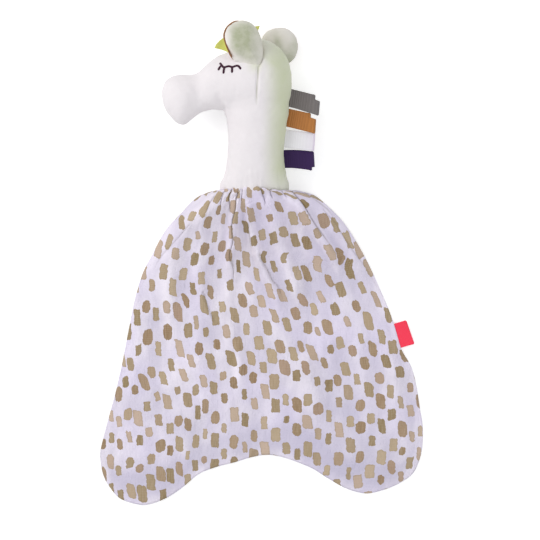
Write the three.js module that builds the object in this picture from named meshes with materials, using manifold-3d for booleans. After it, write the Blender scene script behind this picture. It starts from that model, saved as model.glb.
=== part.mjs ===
// A comfort blanket for a baby: a plush head on a long stuffed neck, sewn to a gathered blanket
// of two muslin layers, lying flat on its side. Sizes are in millimetres. +X is to the right of
// the laid-out toy, +Y runs from the blanket to the crown, and +Z is up from the table it lies on.
// The origin is on the blanket's flat underside.

import * as THREE from 'three';
import { mergeVertices } from 'three/addons/utils/BufferGeometryUtils.js';
import Module from 'manifold-3d';

const wasm = await Module();
wasm.setup();

// Gaps and finish shared by all pieces
const clearance = 0.3; // between two sewn pieces that touch
const cutOverrun = 80; // how far a cutting tool runs past the piece it cuts
const restingFlat = 0.5; // depth of the flat that a stuffed form gets where it rests
const weldTolerance = 1e-4; // points nearer than this are one point

// Neck: one stuffed tube, flared at its foot
const neckLength = 50.3; // from the seam with the blanket to the chin
const neckWidth = 37.4;
const neckDepth = 34;

// Head: an egg lying on its side, seen in profile
const headLength = 67.5;
const headHeight = 53;
const headDepth = 43;
const headAboveChin = 22.9; // the egg's middle above the neck's upper end
const headMiddleHeight = neckLength + headAboveChin; // above the neck seam
const headFrontReach = 43; // from the neck's middle to the front of the egg

// Muzzle: a ball that swells out again in front of the head
const muzzleLength = 27.1;
const muzzleHeight = 33.1;
const muzzleDepth = 30;
const muzzleDrop = 13.6; // its middle below the head's middle
const muzzleMiddleHeight = headMiddleHeight - muzzleDrop;
const muzzleOut = 18.6; // how far the nose stands in front of the head
const muzzleReach = headFrontReach + muzzleOut; // from the neck's middle to the nose

// Ears: padded leaves, each with a thin lining under it
const earLength = 31.4;
const earWidth = 24;
const earLoft = 4.2; // height of the padding above the ear's rim
const earBelly = 1.4; // how far the padding sinks below the rim
const earRim = 0.9;
const liningThickness = 0.9;
const liningShow = 0.5; // how far the lining stands past the ear's rim
const nearEarSeatShare = [0.5644, 0.14]; // its foot on the head: along from the front, up from the middle
const nearEarAboveHead = 1.75;
const nearEarLean = THREE.MathUtils.degToRad(9.5);
const nearEarDip = THREE.MathUtils.degToRad(4);
const farEarSeatShare = [0.7526, 0.117];
const farEarAboveTable = 5.4;
const farEarLean = THREE.MathUtils.degToRad(-31);
const farEarRise = THREE.MathUtils.degToRad(7);
const farEarCrease = 12; // the far ear bends out from under the head this far above its foot

// Forelock: a flat piece of felt in the crown seam, with pointed locks
const forelockWidth = 29.5;
const feltThickness = 1.3;
const forelockSeatShare = [0.4637, 0.4472];

// Eye: satin stitch lying on the velour
const eyeWidth = 15.2;
const eyeThread = 1;
const eyeRaise = 0.6;
const eyeSeatShare = [0.2726, 0.2113]; // the corner nearest to the muzzle

// Ribbon loops in the back seam of the neck
const ribbonWidth = 12;
const ribbonThickness = 0.7;
const ribbonMouth = 3.2; // the widest gap inside a loop

// Blanket: two layers, sewn together round the edge and turned
const blanketWidth = 213.4;
const blanketLength = 208.5; // from the neck seam to the longer lobe
const clothThickness = 1.1;
const clothLoft = 1.6; // air between the layers where they lie flat
const foldHeight = 4.2;
const gatherHeight = 1.5;
const gatherCount = 9;
const neckFromMiddle = 4.3; // the neck stands left of the blanket's middle
const seamFromOrigin = 48.5; // from the origin up to the neck seam

// Label: a folded woven tab in the right side seam
const labelWidth = 16.7;
const labelReach = 8.3;
const labelLayer = 0.45;

// Stations of the stuffed forms, as shares of the form's own length, height (or width) and depth.
// Head and muzzle rows run from the nose end to the back: along, middle, height, depth.
const headShares = [
  [0, -0.2, 0, 0],
  [0.029, -0.2, 0.275, 0.3],
  [0.069, -0.197, 0.469, 0.49],
  [0.147, -0.119, 0.5625, 0.65],
  [0.255, -0.059, 0.656, 0.77],
  [0.358, -0.044, 0.7375, 0.86],
  [0.49, -0.022, 0.856, 0.95],
  [0.637, -0.003, 0.969, 1],
  [0.706, 0, 1, 1],
  [0.794, -0.0125, 0.95, 0.95],
  [0.882, -0.022, 0.806, 0.8],
  [0.951, -0.025, 0.575, 0.56],
  [0.985, -0.044, 0.3625, 0.33],
  [1, -0.05, 0, 0],
];
const muzzleShares = [
  [0, 0.11, 0, 0],
  [0.024, 0.105, 0.39, 0.38],
  [0.085, 0.085, 0.61, 0.6],
  [0.195, 0.055, 0.79, 0.79],
  [0.341, 0.022, 0.936, 0.93],
  [0.488, 0.001, 0.998, 1],
  [0.634, 0.031, 0.934, 0.95],
  [0.78, 0.075, 0.83, 0.86],
  [0.878, 0.09, 0.72, 0.76],
  [0.951, 0.09, 0.44, 0.45],
  [1, 0.09, 0, 0],
];
// Neck rows run up from below the seam: along, middle, width, depth, and how far its middle has
// risen from the seam's middle to the head's middle.
const neckShares = [
  [-0.151, -0.004, 1.3, 0.9, 0],
  [0, -0.003, 1.234, 0.903, 0],
  [0.143, -0.003, 1.138, 0.94, 0.2],
  [0.349, 0.008, 1.025, 0.98, 0.4],
  [0.559, 0.018, 0.998, 1, 0.62],
  [0.814, 0.034, 1.03, 1, 0.86],
  [1, 0.04, 1.124, 1.03, 0.97],
  [1.138, 0.049, 1.09, 0.97, 1],
  [1.243, 0.071, 0.81, 0.66, 1],
  [1.309, 0.08, 0, 0, 1],
];
const neckSeamRow = neckShares[1];

// Half of the ear's outline: share of its length from the foot, share of its half width
const earShares = [
  [0, 0.3], [0.04, 0.5], [0.14, 0.74], [0.3, 0.9], [0.48, 0.98], [0.65, 1],
  [0.79, 0.88], [0.9, 0.64], [0.97, 0.34], [1, 0],
];

// The felt forelock, in shares of its width from its middle
const forelockShares = [
  [-0.49, -0.1], [-0.31, 0.095], [-0.14, 0.03], [-0.09, 0.24], [0.07, 0.11], [0.16, 0.32],
  [0.24, 0.2], [0.51, 0.375], [0.46, 0.24], [0.4, -0.1], [-0.2, -0.34], [-0.22, -0.205],
];

// Eyelid and lashes, in shares of the eye's width from its inner corner
const lidShares = [
  [0.08, 0], [0.15, -0.1], [0.27, -0.21], [0.47, -0.17], [0.63, -0.2], [0.82, -0.13],
  [0.93, -0.18], [1, -0.31],
];
const lashShares = [
  [[0.16, -0.13], [0.0, -0.35]],
  [[0.3, -0.23], [0.24, -0.5]],
  [[0.62, -0.21], [0.61, -0.45]],
];

// Ribbon loops, from the head down: place of the middle up the neck, length in ribbon widths,
// and slope of the loop away from square to the seam
const ribbonLoops = [
  { name: 'ribbon_grey', colour: 0x6b6b66, placeShare: 1.197, reachShare: 1.49, slope: -0.1 },
  { name: 'ribbon_ochre', colour: 0xb87b40, placeShare: 0.94, reachShare: 1.42, slope: -0.055 },
  { name: 'ribbon_white', colour: 0xdbd4dc, placeShare: 0.667, reachShare: 1.6, slope: -0.05 },
  { name: 'ribbon_aubergine', colour: 0x39264b, placeShare: 0.398, reachShare: 1.55, slope: -0.12 },
];

// Blanket outline, in shares of its width from its middle and of its length from the neck seam
const leftEdgeShares = [
  [-0.195, -0.024], [-0.247, -0.075], [-0.299, -0.135], [-0.34, -0.211], [-0.3675, -0.265],
  [-0.3905, -0.341], [-0.405, -0.41], [-0.442, -0.6], [-0.491, -0.792], [-0.5, -0.843],
  [-0.4945, -0.889], [-0.4855, -0.916],
];
const rightEdgeShares = [
  [0.135, -0.0105], [0.168, -0.023], [0.2094, -0.0587], [0.2553, -0.108], [0.301, -0.18],
  [0.3384, -0.2524], [0.38, -0.346], [0.409, -0.423], [0.434, -0.5076], [0.4637, -0.5616],
  [0.479, -0.619], [0.4907, -0.6924], [0.5, -0.754], [0.4978, -0.824], [0.483, -0.877],
  [0.4684, -0.8968],
];
const hemShares = [
  [-0.472, -0.9425], [-0.438, -0.981], [-0.3815, -1], [-0.344, -0.9985], [-0.291, -0.977],
  [-0.2465, -0.9465], [-0.194, -0.903], [-0.141, -0.881], [-0.0806, -0.865], [-0.0326, -0.85],
  [0.0186, -0.842], [0.0658, -0.85], [0.1148, -0.867], [0.1597, -0.8866], [0.205, -0.916],
  [0.2575, -0.9465], [0.3024, -0.9616], [0.3397, -0.9635], [0.404, -0.944], [0.4532, -0.916],
];
// Main folds of the front layer, in shares of the way across (-1 left, 1 right) and of the way
// down: across at the top, across at the bottom, from, to, height, half width
const foldShares = [
  [-0.2, -0.16, 0.0, 0.5, 1, 0.07],
  [-0.5, -0.24, 0.12, 0.75, 0.5, 0.09],
  [0.02, 0.24, 0.04, 0.62, 0.62, 0.08],
  [0.5, 0.66, 0.0, 0.42, 0.8, 0.08],
  [-0.72, -0.6, 0.02, 0.4, 0.45, 0.08],
  [0.3, 0.4, 0.02, 0.34, 0.4, 0.07],
  [-0.14, -0.12, 0.5, 0.85, 0.3, 0.08],
  [0.55, 0.5, 0.5, 0.9, 0.25, 0.1],
];
const labelPlaceShare = 0.572; // down the right edge
const draftFallShare = 0.4; // down the blanket, where it has come down from the neck to the table
const gatherFallShare = 0.3; // down the blanket, where the gathers have run out
const foldStartShare = 0.083; // down the blanket, where folds have their full height

// How sharply the curves of the cloth and the ribbons bend
const archPower = 2.4; // section of the neck's foot in the cloth
const sideLoftPower = 8; // the layers meet at the side seams
const hemLoftPower = 10; // and at the hem
const rowPower = 1.35; // rows of the cloth lie closer near the gathers
const foldSkew = 0.7; // folds are highest nearer to the neck
const mouthPower = 0.7; // a ribbon loop opens soon after its root

// Fineness of the meshes
const formSides = 24;
const ringsBetween = 2;
const clothAcross = 28;
const clothDown = 16;
const stripSteps = 10;
const turnSteps = 5;
const dotSides = 10;
const curveSteps = 800;
const padRings = [0, 0.12, 0.32, 0.6]; // shares of the way in from an ear's rim

const velour = (colour) => new THREE.MeshStandardMaterial({ color: colour, roughness: 0.9, metalness: 0 });
const velourWhite = velour(0xefeaee);
const velourSage = velour(0xc4c6b0);
const liningBrown = velour(0x8a6236);
const feltLime = velour(0xc4c971);
const threadDark = velour(0x3c2233);
const muslin = velour(0xe2def0);
const wovenRed = velour(0xf04a5e);

// Sizes that several pieces share
const headMiddleZ = headDepth / 2 - restingFlat;
const seamDepth = neckDepth * neckSeamRow[3];
const seamMiddleZ = seamDepth / 2 - restingFlat;
const seamHalfWidth = (neckWidth * neckSeamRow[2]) / 2;
const seamMiddleX = neckWidth * neckSeamRow[1];

// Solids and meshes

function weld(geometry) {
  const bare = geometry.clone();
  bare.deleteAttribute('normal');
  bare.deleteAttribute('uv');
  return mergeVertices(bare, weldTolerance);
}

function toSolid(geometry) {
  const welded = weld(geometry);
  return new wasm.Manifold(new wasm.Mesh({
    numProp: 3,
    vertProperties: new Float32Array(welded.attributes.position.array),
    triVerts: new Uint32Array(welded.index.array),
  }));
}

function toGeometry(solid) {
  const mesh = solid.getMesh();
  const geometry = new THREE.BufferGeometry();
  geometry.setAttribute('position', new THREE.BufferAttribute(new Float32Array(mesh.vertProperties), 3));
  geometry.setIndex(new THREE.BufferAttribute(new Uint32Array(mesh.triVerts), 1));
  geometry.computeVertexNormals();
  return geometry;
}

function piece(name, geometry, material) {
  const mesh = new THREE.Mesh(geometry, material);
  mesh.name = name;
  return mesh;
}

// Moves every point of a closed form along its normal: outwards if distance is above zero
function swell(geometry, distance) {
  const grown = weld(geometry);
  grown.computeVertexNormals();
  const { position, normal } = grown.attributes;
  for (let i = 0; i < position.count; i += 1) {
    position.setXYZ(
      i,
      position.getX(i) + normal.getX(i) * distance,
      position.getY(i) + normal.getY(i) * distance,
      position.getZ(i) + normal.getZ(i) * distance,
    );
  }
  return grown;
}

// A row of station values at a place between the rows of a table, on a smooth curve
function stationAt(rows, place) {
  const last = rows.length - 1;
  const i = Math.min(Math.floor(place), last - 1);
  const t = place - i;
  return rows[0].map((_, column) => {
    const at = (k) => rows[Math.max(0, Math.min(last, k))][column];
    const [a, b, c, d] = [at(i - 1), at(i), at(i + 1), at(i + 2)];
    return b + 0.5 * t * (c - a + t * (2 * a - 5 * b + 4 * c - d + t * (3 * (b - c) + d - a)));
  });
}

// A closed form through round sections: the first and last rows are its two poles
function loft(rows, ringPoint) {
  const stations = (rows.length - 1) * ringsBetween;
  const points = [];
  const faces = [];
  for (let ring = 0; ring <= stations; ring += 1) {
    const row = stationAt(rows, ring / ringsBetween);
    const pole = ring === 0 || ring === stations;
    for (let side = 0; side < (pole ? 1 : formSides); side += 1) {
      points.push(...ringPoint(row, (side / formSides) * 2 * Math.PI).toArray());
    }
  }
  const index = (ring, side) => 1 + (ring - 1) * formSides + (side % formSides);
  const lastPole = points.length / 3 - 1;
  for (let side = 0; side < formSides; side += 1) {
    faces.push(0, index(1, side + 1), index(1, side));
    for (let ring = 1; ring < stations - 1; ring += 1) {
      const [a, b] = [index(ring, side), index(ring, side + 1)];
      const [c, d] = [index(ring + 1, side), index(ring + 1, side + 1)];
      faces.push(a, b, d, a, d, c);
    }
    faces.push(lastPole, index(stations - 1, side), index(stations - 1, side + 1));
  }
  const geometry = new THREE.BufferGeometry();
  geometry.setAttribute('position', new THREE.Float32BufferAttribute(points, 3));
  geometry.setIndex(faces);
  return geometry;
}

// Stuffed forms, in the frame of the neck seam: X across, Y up the neck, Z up from the table

function headForm() {
  return loft(headShares, ([along, middle, height, depth], turn) => new THREE.Vector3(
    along * headLength - headFrontReach,
    headMiddleHeight + headHeight * (middle + (height / 2) * Math.cos(turn)),
    headMiddleZ + headDepth * (depth / 2) * Math.sin(turn),
  ));
}

function muzzleForm() {
  return loft(muzzleShares, ([along, middle, height, depth], turn) => new THREE.Vector3(
    along * muzzleLength - muzzleReach,
    muzzleMiddleHeight + muzzleHeight * (middle + (height / 2) * Math.cos(turn)),
    headMiddleZ + muzzleDepth * (depth / 2) * Math.sin(turn),
  ));
}

function neckForm() {
  const foot = [...neckShares[0]];
  foot[2] = 0;
  foot[3] = 0;
  return loft([foot, ...neckShares], ([along, middle, width, depth, rise], turn) => new THREE.Vector3(
    neckWidth * (middle + (width / 2) * Math.sin(turn)),
    neckLength * along,
    THREE.MathUtils.lerp(seamMiddleZ, headMiddleZ, rise) + neckDepth * (depth / 2) * Math.cos(turn),
  ));
}

// A block that fills everything above y = from, or below it, or below z = 0
function block(centre) {
  const box = new THREE.BoxGeometry(4 * cutOverrun, 4 * cutOverrun, 4 * cutOverrun);
  box.translate(...centre);
  return toSolid(box);
}
const underTable = block([0, 0, -2 * cutOverrun]);
const belowSeam = block([0, clearance - 2 * cutOverrun, 0]);

const headBody = toSolid(headForm());
const muzzleBody = toSolid(muzzleForm());
const neckBody = toSolid(neckForm());
const headRoom = toSolid(swell(headForm(), clearance));
const muzzleRoom = toSolid(swell(muzzleForm(), clearance));

// A place on the head: shares of its length from its front and of its height from its middle
function onHead([along, up]) {
  return new THREE.Vector2(along * headLength - headFrontReach, headMiddleHeight + up * headHeight);
}

// The near surface of the head, found by looking down on it
const surfaceFinder = new THREE.Raycaster();
const headTarget = new THREE.Mesh(headForm());
headTarget.updateMatrixWorld();

function headSurfaceAt(place) {
  surfaceFinder.set(new THREE.Vector3(place.x, place.y, headDepth + cutOverrun), new THREE.Vector3(0, 0, -1));
  return surfaceFinder.intersectObject(headTarget)[0].point;
}

function head() {
  return piece('head', toGeometry(headBody.subtract(underTable)), velourWhite);
}

function muzzle() {
  return piece('muzzle', toGeometry(muzzleBody.subtract(headRoom)), velourWhite);
}

function neck() {
  const cut = neckBody.subtract(headRoom).subtract(muzzleRoom).subtract(underTable).subtract(belowSeam);
  return piece('neck', toGeometry(cut), velourWhite);
}

// Cuts a mesh by solids given in its parent's frame, and leaves it where it was placed
function cutInPlace(mesh, ...tools) {
  mesh.updateMatrix();
  let solid = toSolid(mesh.geometry.clone().applyMatrix4(mesh.matrix));
  for (const tool of tools) {
    solid = solid.subtract(tool);
  }
  mesh.geometry = toGeometry(solid).applyMatrix4(mesh.matrix.clone().invert());
  return mesh;
}

// Ears

// A leaf-shaped pad in its own frame: X across, Y from foot to tip, Z through it. The top and
// bottom functions give the heights at a share of the way in from the rim.
function leafPad(margin, top, bottom) {
  const half = earShares.map(([along, wide]) => new THREE.Vector2(
    wide * (earWidth / 2 + margin),
    along * (earLength + 2 * margin) - margin,
  ));
  const other = half.slice(0, -1).reverse().map((point) => new THREE.Vector2(-point.x, point.y));
  const outline = new THREE.CatmullRomCurve3(
    [...half, ...other].map((point) => new THREE.Vector3(point.x, point.y, 0)),
    true,
  ).getSpacedPoints(formSides).slice(0, formSides);
  const middle = new THREE.Vector3(0, earLength / 2, 0);
  const points = [];
  const faces = [];
  for (const height of [top, bottom]) {
    for (const inset of padRings) {
      for (const rim of outline) {
        const point = rim.clone().lerp(middle, inset);
        points.push(point.x, point.y, height(inset));
      }
    }
    points.push(middle.x, middle.y, height(1));
  }
  const sheet = padRings.length * formSides + 1;
  const at = (side, ring, step) => side * sheet + ring * formSides + (step % formSides);
  for (let step = 0; step < formSides; step += 1) {
    for (let ring = 0; ring < padRings.length - 1; ring += 1) {
      const [a, b] = [at(0, ring, step), at(0, ring, step + 1)];
      const [c, d] = [at(0, ring + 1, step), at(0, ring + 1, step + 1)];
      faces.push(a, b, d, a, d, c);
      faces.push(a + sheet, d + sheet, b + sheet, a + sheet, c + sheet, d + sheet);
    }
    const inner = padRings.length - 1;
    faces.push(at(0, inner, step), at(0, inner, step + 1), sheet - 1);
    faces.push(at(1, inner, step + 1), at(1, inner, step), 2 * sheet - 1);
    faces.push(at(0, 0, step), at(1, 0, step), at(1, 0, step + 1));
    faces.push(at(0, 0, step), at(1, 0, step + 1), at(0, 0, step + 1));
  }
  const geometry = new THREE.BufferGeometry();
  geometry.setAttribute('position', new THREE.Float32BufferAttribute(points, 3));
  geometry.setIndex(faces);
  return geometry;
}

// Roundness of a pad: 0 at the rim, 1 over the middle
function crown(inset) {
  return Math.sqrt(1 - (1 - inset) ** 2);
}

function ear(name, foot, lean, tilt, crease) {
  const belowCrease = new THREE.BoxGeometry(cutOverrun, cutOverrun, cutOverrun);
  belowCrease.translate(0, crease - cutOverrun / 2, 0);
  const underside = (inset) => -earBelly * crown(inset);
  const pad = leafPad(0, (inset) => earRim + earLoft * crown(inset), underside);
  const lining = leafPad(
    liningShow,
    (inset) => underside(inset) - clearance,
    (inset) => underside(inset) - clearance - liningThickness,
  );
  const meshes = [piece(name, pad, velourSage), piece(`${name}_lining`, lining, liningBrown)];
  for (const mesh of meshes) {
    mesh.position.copy(foot);
    mesh.rotation.set(tilt, 0, lean, 'ZYX');
    mesh.updateMatrix();
    cutInPlace(mesh, headRoom, toSolid(belowCrease.clone().applyMatrix4(mesh.matrix)));
  }
  return meshes;
}

// Flat felt, standing in the seam that runs over the crown
function feltForelock() {
  const middle = onHead(forelockSeatShare);
  const shape = new THREE.Shape(forelockShares.map(([x, y]) => new THREE.Vector2(
    middle.x + x * forelockWidth,
    middle.y + y * forelockWidth,
  )));
  const felt = new THREE.ExtrudeGeometry(shape, { depth: feltThickness, bevelEnabled: false });
  const mesh = piece('felt_forelock', felt, feltLime);
  mesh.position.z = headMiddleZ - feltThickness / 2;
  return cutInPlace(mesh, headRoom);
}

// Eyes: strokes of thread, cut out of a skin that lies just over the head

function stroke(from, to) {
  const length = from.distanceTo(to);
  const bar = new THREE.BoxGeometry(length, eyeThread, cutOverrun);
  bar.rotateZ(Math.atan2(to.y - from.y, to.x - from.x));
  bar.translate((from.x + to.x) / 2, (from.y + to.y) / 2, 0);
  return toSolid(bar);
}

function dot(at) {
  const round = new THREE.CylinderGeometry(eyeThread / 2, eyeThread / 2, cutOverrun, dotSides);
  round.rotateX(Math.PI / 2);
  round.translate(at.x, at.y, 0);
  return toSolid(round);
}

function eyeStrokes() {
  const corner = onHead(eyeSeatShare);
  const place = ([x, y]) => new THREE.Vector2(corner.x + x * eyeWidth, corner.y + y * eyeWidth);
  let strokes = null;
  for (const line of [lidShares, ...lashShares]) {
    const points = line.map(place);
    for (const [i, point] of points.entries()) {
      const solids = i > 0 ? [stroke(points[i - 1], point), dot(point)] : [dot(point)];
      for (const solid of solids) {
        strokes = strokes ? strokes.add(solid) : solid;
      }
    }
  }
  return strokes;
}

function eye(name, sideSign) {
  const half = cutOverrun / 2;
  const skin = toSolid(swell(headForm(), clearance + eyeRaise)).subtract(headRoom);
  const strokes = eyeStrokes().translate([0, 0, headMiddleZ + sideSign * half]);
  return piece(name, toGeometry(strokes.intersect(skin)), threadDark);
}

// Ribbon loops and label: a strip folded back on itself, both ends in the seam

// Outline of a folded strip in X and Z, from its rounded root to the fold
function foldedStrip(reach, layer, mouth, width, slope) {
  const tip = layer + mouth / 2;
  const foldMiddle = reach - tip - layer;
  const outer = [];
  const inner = [];
  for (let i = 0; i <= stripSteps; i += 1) {
    const share = i / stripSteps;
    const half = (mouth / 2) * share ** mouthPower;
    outer.push([foldMiddle * share, half + layer]);
    inner.push([foldMiddle * share, half]);
  }
  for (let i = 1; i <= turnSteps; i += 1) {
    const turn = (Math.PI / 2) * (1 - i / turnSteps);
    outer.push([foldMiddle + tip * Math.cos(turn), tip * Math.sin(turn)]);
    inner.push([foldMiddle + (mouth / 2) * Math.cos(turn), (mouth / 2) * Math.sin(turn)]);
  }
  const rootArc = [];
  for (let i = turnSteps - 1; i > 0; i -= 1) {
    const turn = Math.PI / 2 + (Math.PI * i) / turnSteps;
    rootArc.push([layer * Math.cos(turn), layer * Math.sin(turn)]);
  }
  const mirrored = (points) => points.slice(0, -1).reverse().map(([x, z]) => [x, -z]);
  const ring = [...outer, ...mirrored(outer), ...rootArc];
  const hole = [...inner, ...mirrored(inner).slice(0, -1)];
  const shape = new THREE.Shape(ring.map(([x, z]) => new THREE.Vector2(x, z)));
  shape.holes.push(new THREE.Path(hole.reverse().map(([x, z]) => new THREE.Vector2(x, z))));
  const strip = new THREE.ExtrudeGeometry(shape, { depth: width, bevelEnabled: false });
  strip.translate(0, 0, -width / 2);
  strip.rotateX(Math.PI / 2);
  return strip.applyMatrix4(new THREE.Matrix4().makeShear(slope, 0, 0, 0, 0, 0));
}

// Stands a strip in a seam: the root's axis runs from one point to the other, and the strip
// points away from the stuffed form at the given distance
function seat(mesh, lower, upper, away, distance) {
  const alongSeam = upper.clone().sub(lower).normalize();
  const outwards = away.clone().addScaledVector(alongSeam, -away.dot(alongSeam)).normalize();
  const across = outwards.clone().cross(alongSeam);
  mesh.quaternion.setFromRotationMatrix(new THREE.Matrix4().makeBasis(outwards, alongSeam, across));
  mesh.position.copy(lower).lerp(upper, 0.5).addScaledVector(outwards, distance);
  return mesh;
}

// The back seam of the neck and head, found by looking in from the right
const neckTarget = new THREE.Mesh(neckForm());
neckTarget.updateMatrixWorld();

function backSeamAt(height) {
  const place = Math.min(1, Math.max(0, height / neckLength));
  const z = THREE.MathUtils.lerp(seamMiddleZ, headMiddleZ, place);
  surfaceFinder.set(new THREE.Vector3(2 * cutOverrun, height, z), new THREE.Vector3(-1, 0, 0));
  return surfaceFinder.intersectObjects([headTarget, neckTarget])[0].point;
}

const quarterShares = [-0.25, 0, 0.25]; // places across a strip, from its middle

function ribbonLoop({ name, colour, placeShare, reachShare, slope }) {
  const strip = foldedStrip(reachShare * ribbonWidth, ribbonThickness, ribbonMouth, ribbonWidth, slope);
  const middle = placeShare * neckLength;
  const lower = backSeamAt(middle - ribbonWidth / 2);
  const upper = backSeamAt(middle + ribbonWidth / 2);
  lower.z = (lower.z + upper.z) / 2;
  upper.z = lower.z;
  const bulge = Math.max(0, ...quarterShares.map((share) => {
    const point = backSeamAt(middle + share * ribbonWidth);
    const onChord = lower.clone().lerp(upper, share + 0.5);
    return point.x - onChord.x;
  }));
  const outwards = new THREE.Vector3(1, 0, 0);
  const distance = ribbonThickness + clearance + bulge;
  return seat(piece(name, strip, velour(colour)), lower, upper, outwards, distance);
}

// Blanket

// The left edge, right edge and hem of the blanket, in its own frame
function blanketEdges() {
  const place = ([x, y]) => new THREE.Vector3(x * blanketWidth, y * blanketLength, 0);
  const seamX = seamMiddleX - neckFromMiddle;
  const leftTop = new THREE.Vector3(seamX - seamHalfWidth, 0, 0);
  const rightTop = new THREE.Vector3(seamX + seamHalfWidth, 0, 0);
  const left = new THREE.CatmullRomCurve3([leftTop, ...leftEdgeShares.map(place)]);
  const right = new THREE.CatmullRomCurve3([rightTop, ...rightEdgeShares.map(place)]);
  const hem = new THREE.CatmullRomCurve3([
    place(leftEdgeShares.at(-1)),
    ...hemShares.map(place),
    place(rightEdgeShares.at(-1)),
  ]);
  const curves = { left, right, hem, seam: new THREE.LineCurve3(leftTop, rightTop) };
  for (const curve of [left, right, hem]) {
    curve.arcLengthDivisions = curveSteps;
  }
  return curves;
}
const edges = blanketEdges();

// A point of the flat blanket: across from 0 left to 1 right, down from 0 at the neck to 1 at the hem
function clothPoint(across, down) {
  const left = edges.left.getPointAt(down);
  const right = edges.right.getPointAt(down);
  const hem = edges.hem.getPointAt(across);
  const seam = edges.seam.getPointAt(across);
  const sides = left.clone().lerp(right, across);
  const ends = seam.clone().lerp(hem, down);
  const corners = edges.left.getPointAt(0).lerp(edges.right.getPointAt(0), across)
    .lerp(edges.left.getPointAt(1).lerp(edges.right.getPointAt(1), across), down);
  return sides.add(ends).sub(corners);
}

// Smooth step down from 1 to 0
function fall(share) {
  const t = Math.min(1, Math.max(0, share));
  return (1 - t) ** 2 * (1 + 2 * t);
}

// How much of the neck's section the cloth still has at a place down the blanket
function draft(down) {
  return fall(down / draftFallShare);
}

// Roundness of the cloth across the blanket: 1 in the middle, 0 at the side seams
function arch(side) {
  return 1 - Math.abs(side) ** archPower;
}

// Share of its height that a fold may have: none at the neck seam, the side seams and the hem
function foldRoom(side, down) {
  return (1 - side ** sideLoftPower) * (1 - down ** sideLoftPower) * Math.min(1, down / foldStartShare);
}

// Gathers and folds of the front layer, none of which reach the edges
function folds(side, down) {
  const wave = 1 + Math.cos(gatherCount * Math.PI * side);
  let height = gatherHeight * wave * fall(down / gatherFallShare);
  for (const [top, bottom, from, to, tall, halfWide] of foldShares) {
    const t = (down - from) / (to - from);
    if (t > 0 && t < 1) {
      const off = (side - THREE.MathUtils.lerp(top, bottom, t)) / halfWide;
      height += foldHeight * tall * Math.exp(-off * off) * Math.sin(Math.PI * t ** foldSkew);
    }
  }
  return height * foldRoom(side, down);
}

function backUnderside(side, down) {
  const lift = seamMiddleZ - (seamDepth / 2) * arch(side);
  return Math.max(0, lift) * draft(down);
}

function frontUnderside(side, down) {
  const flatLoft = clothLoft * (1 - side ** sideLoftPower) * (1 - down ** hemLoftPower);
  const roundLoft = (seamDepth - 2 * clothThickness - clearance) * arch(side);
  const loftHere = THREE.MathUtils.lerp(flatLoft, roundLoft, draft(down));
  return backUnderside(side, down) + clothThickness + clearance + loftHere + folds(side, down);
}

// A layer of cloth: its underside from a height function, its top one thickness above
function clothLayer(underside) {
  const points = [];
  const faces = [];
  const columns = clothAcross + 1;
  const sheet = columns * (clothDown + 1);
  for (const lift of [clothThickness, 0]) {
    for (let row = 0; row <= clothDown; row += 1) {
      const down = (row / clothDown) ** rowPower;
      for (let column = 0; column <= clothAcross; column += 1) {
        const across = column / clothAcross;
        const point = clothPoint(across, down);
        points.push(point.x, point.y, underside(2 * across - 1, down) + lift);
      }
    }
  }
  const at = (side, row, column) => side * sheet + row * columns + column;
  const quad = (a, b, c, d) => faces.push(a, b, c, a, c, d);
  for (let row = 0; row < clothDown; row += 1) {
    for (let column = 0; column < clothAcross; column += 1) {
      const [a, b] = [at(0, row, column), at(0, row, column + 1)];
      const [d, c] = [at(0, row + 1, column), at(0, row + 1, column + 1)];
      quad(a, d, c, b);
      quad(a + sheet, b + sheet, c + sheet, d + sheet);
    }
    quad(at(0, row, 0), at(1, row, 0), at(1, row + 1, 0), at(0, row + 1, 0));
    const end = clothAcross;
    quad(at(0, row, end), at(0, row + 1, end), at(1, row + 1, end), at(1, row, end));
  }
  for (let column = 0; column < clothAcross; column += 1) {
    const end = clothDown;
    quad(at(0, 0, column), at(0, 0, column + 1), at(1, 0, column + 1), at(1, 0, column));
    quad(at(0, end, column), at(1, end, column), at(1, end, column + 1), at(0, end, column + 1));
  }
  const geometry = new THREE.BufferGeometry();
  geometry.setAttribute('position', new THREE.Float32BufferAttribute(points, 3));
  geometry.setIndex(faces);
  return geometry;
}

function sideLabel() {
  const strip = foldedStrip(labelReach, labelLayer, labelLayer, labelWidth, 0);
  const edge = edges.right;
  const halfShare = labelWidth / 2 / edge.getLength();
  const upper = edge.getPointAt(labelPlaceShare - halfShare);
  const lower = edge.getPointAt(labelPlaceShare + halfShare);
  const outwards = new THREE.Vector3(upper.y - lower.y, lower.x - upper.x, 0).normalize();
  const bulge = Math.max(0, ...quarterShares.map((share) => {
    const point = edge.getPointAt(labelPlaceShare + share * 2 * halfShare);
    return point.sub(upper).dot(outwards);
  }));
  const mesh = piece('side_label', strip, wovenRed);
  seat(mesh, lower, upper, outwards, labelLayer + clearance + bulge);
  mesh.position.z = clothThickness + clearance / 2;
  return mesh;
}

function nearEar() {
  const foot = headSurfaceAt(onHead(nearEarSeatShare));
  foot.z += nearEarAboveHead;
  return ear('near_ear', foot, nearEarLean, -nearEarDip, -earLength);
}

function farEar() {
  const place = onHead(farEarSeatShare);
  const foot = new THREE.Vector3(place.x, place.y, farEarAboveTable);
  return ear('far_ear', foot, farEarLean, farEarRise, farEarCrease);
}

function headAndNeck() {
  const group = new THREE.Group();
  group.position.set(-neckFromMiddle, seamFromOrigin, 0);
  group.add(
    head(),
    muzzle(),
    neck(),
    ...nearEar(),
    ...farEar(),
    feltForelock(),
    eye('near_eye', 1),
    eye('far_eye', -1),
    ...ribbonLoops.map(ribbonLoop),
  );
  return group;
}

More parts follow.
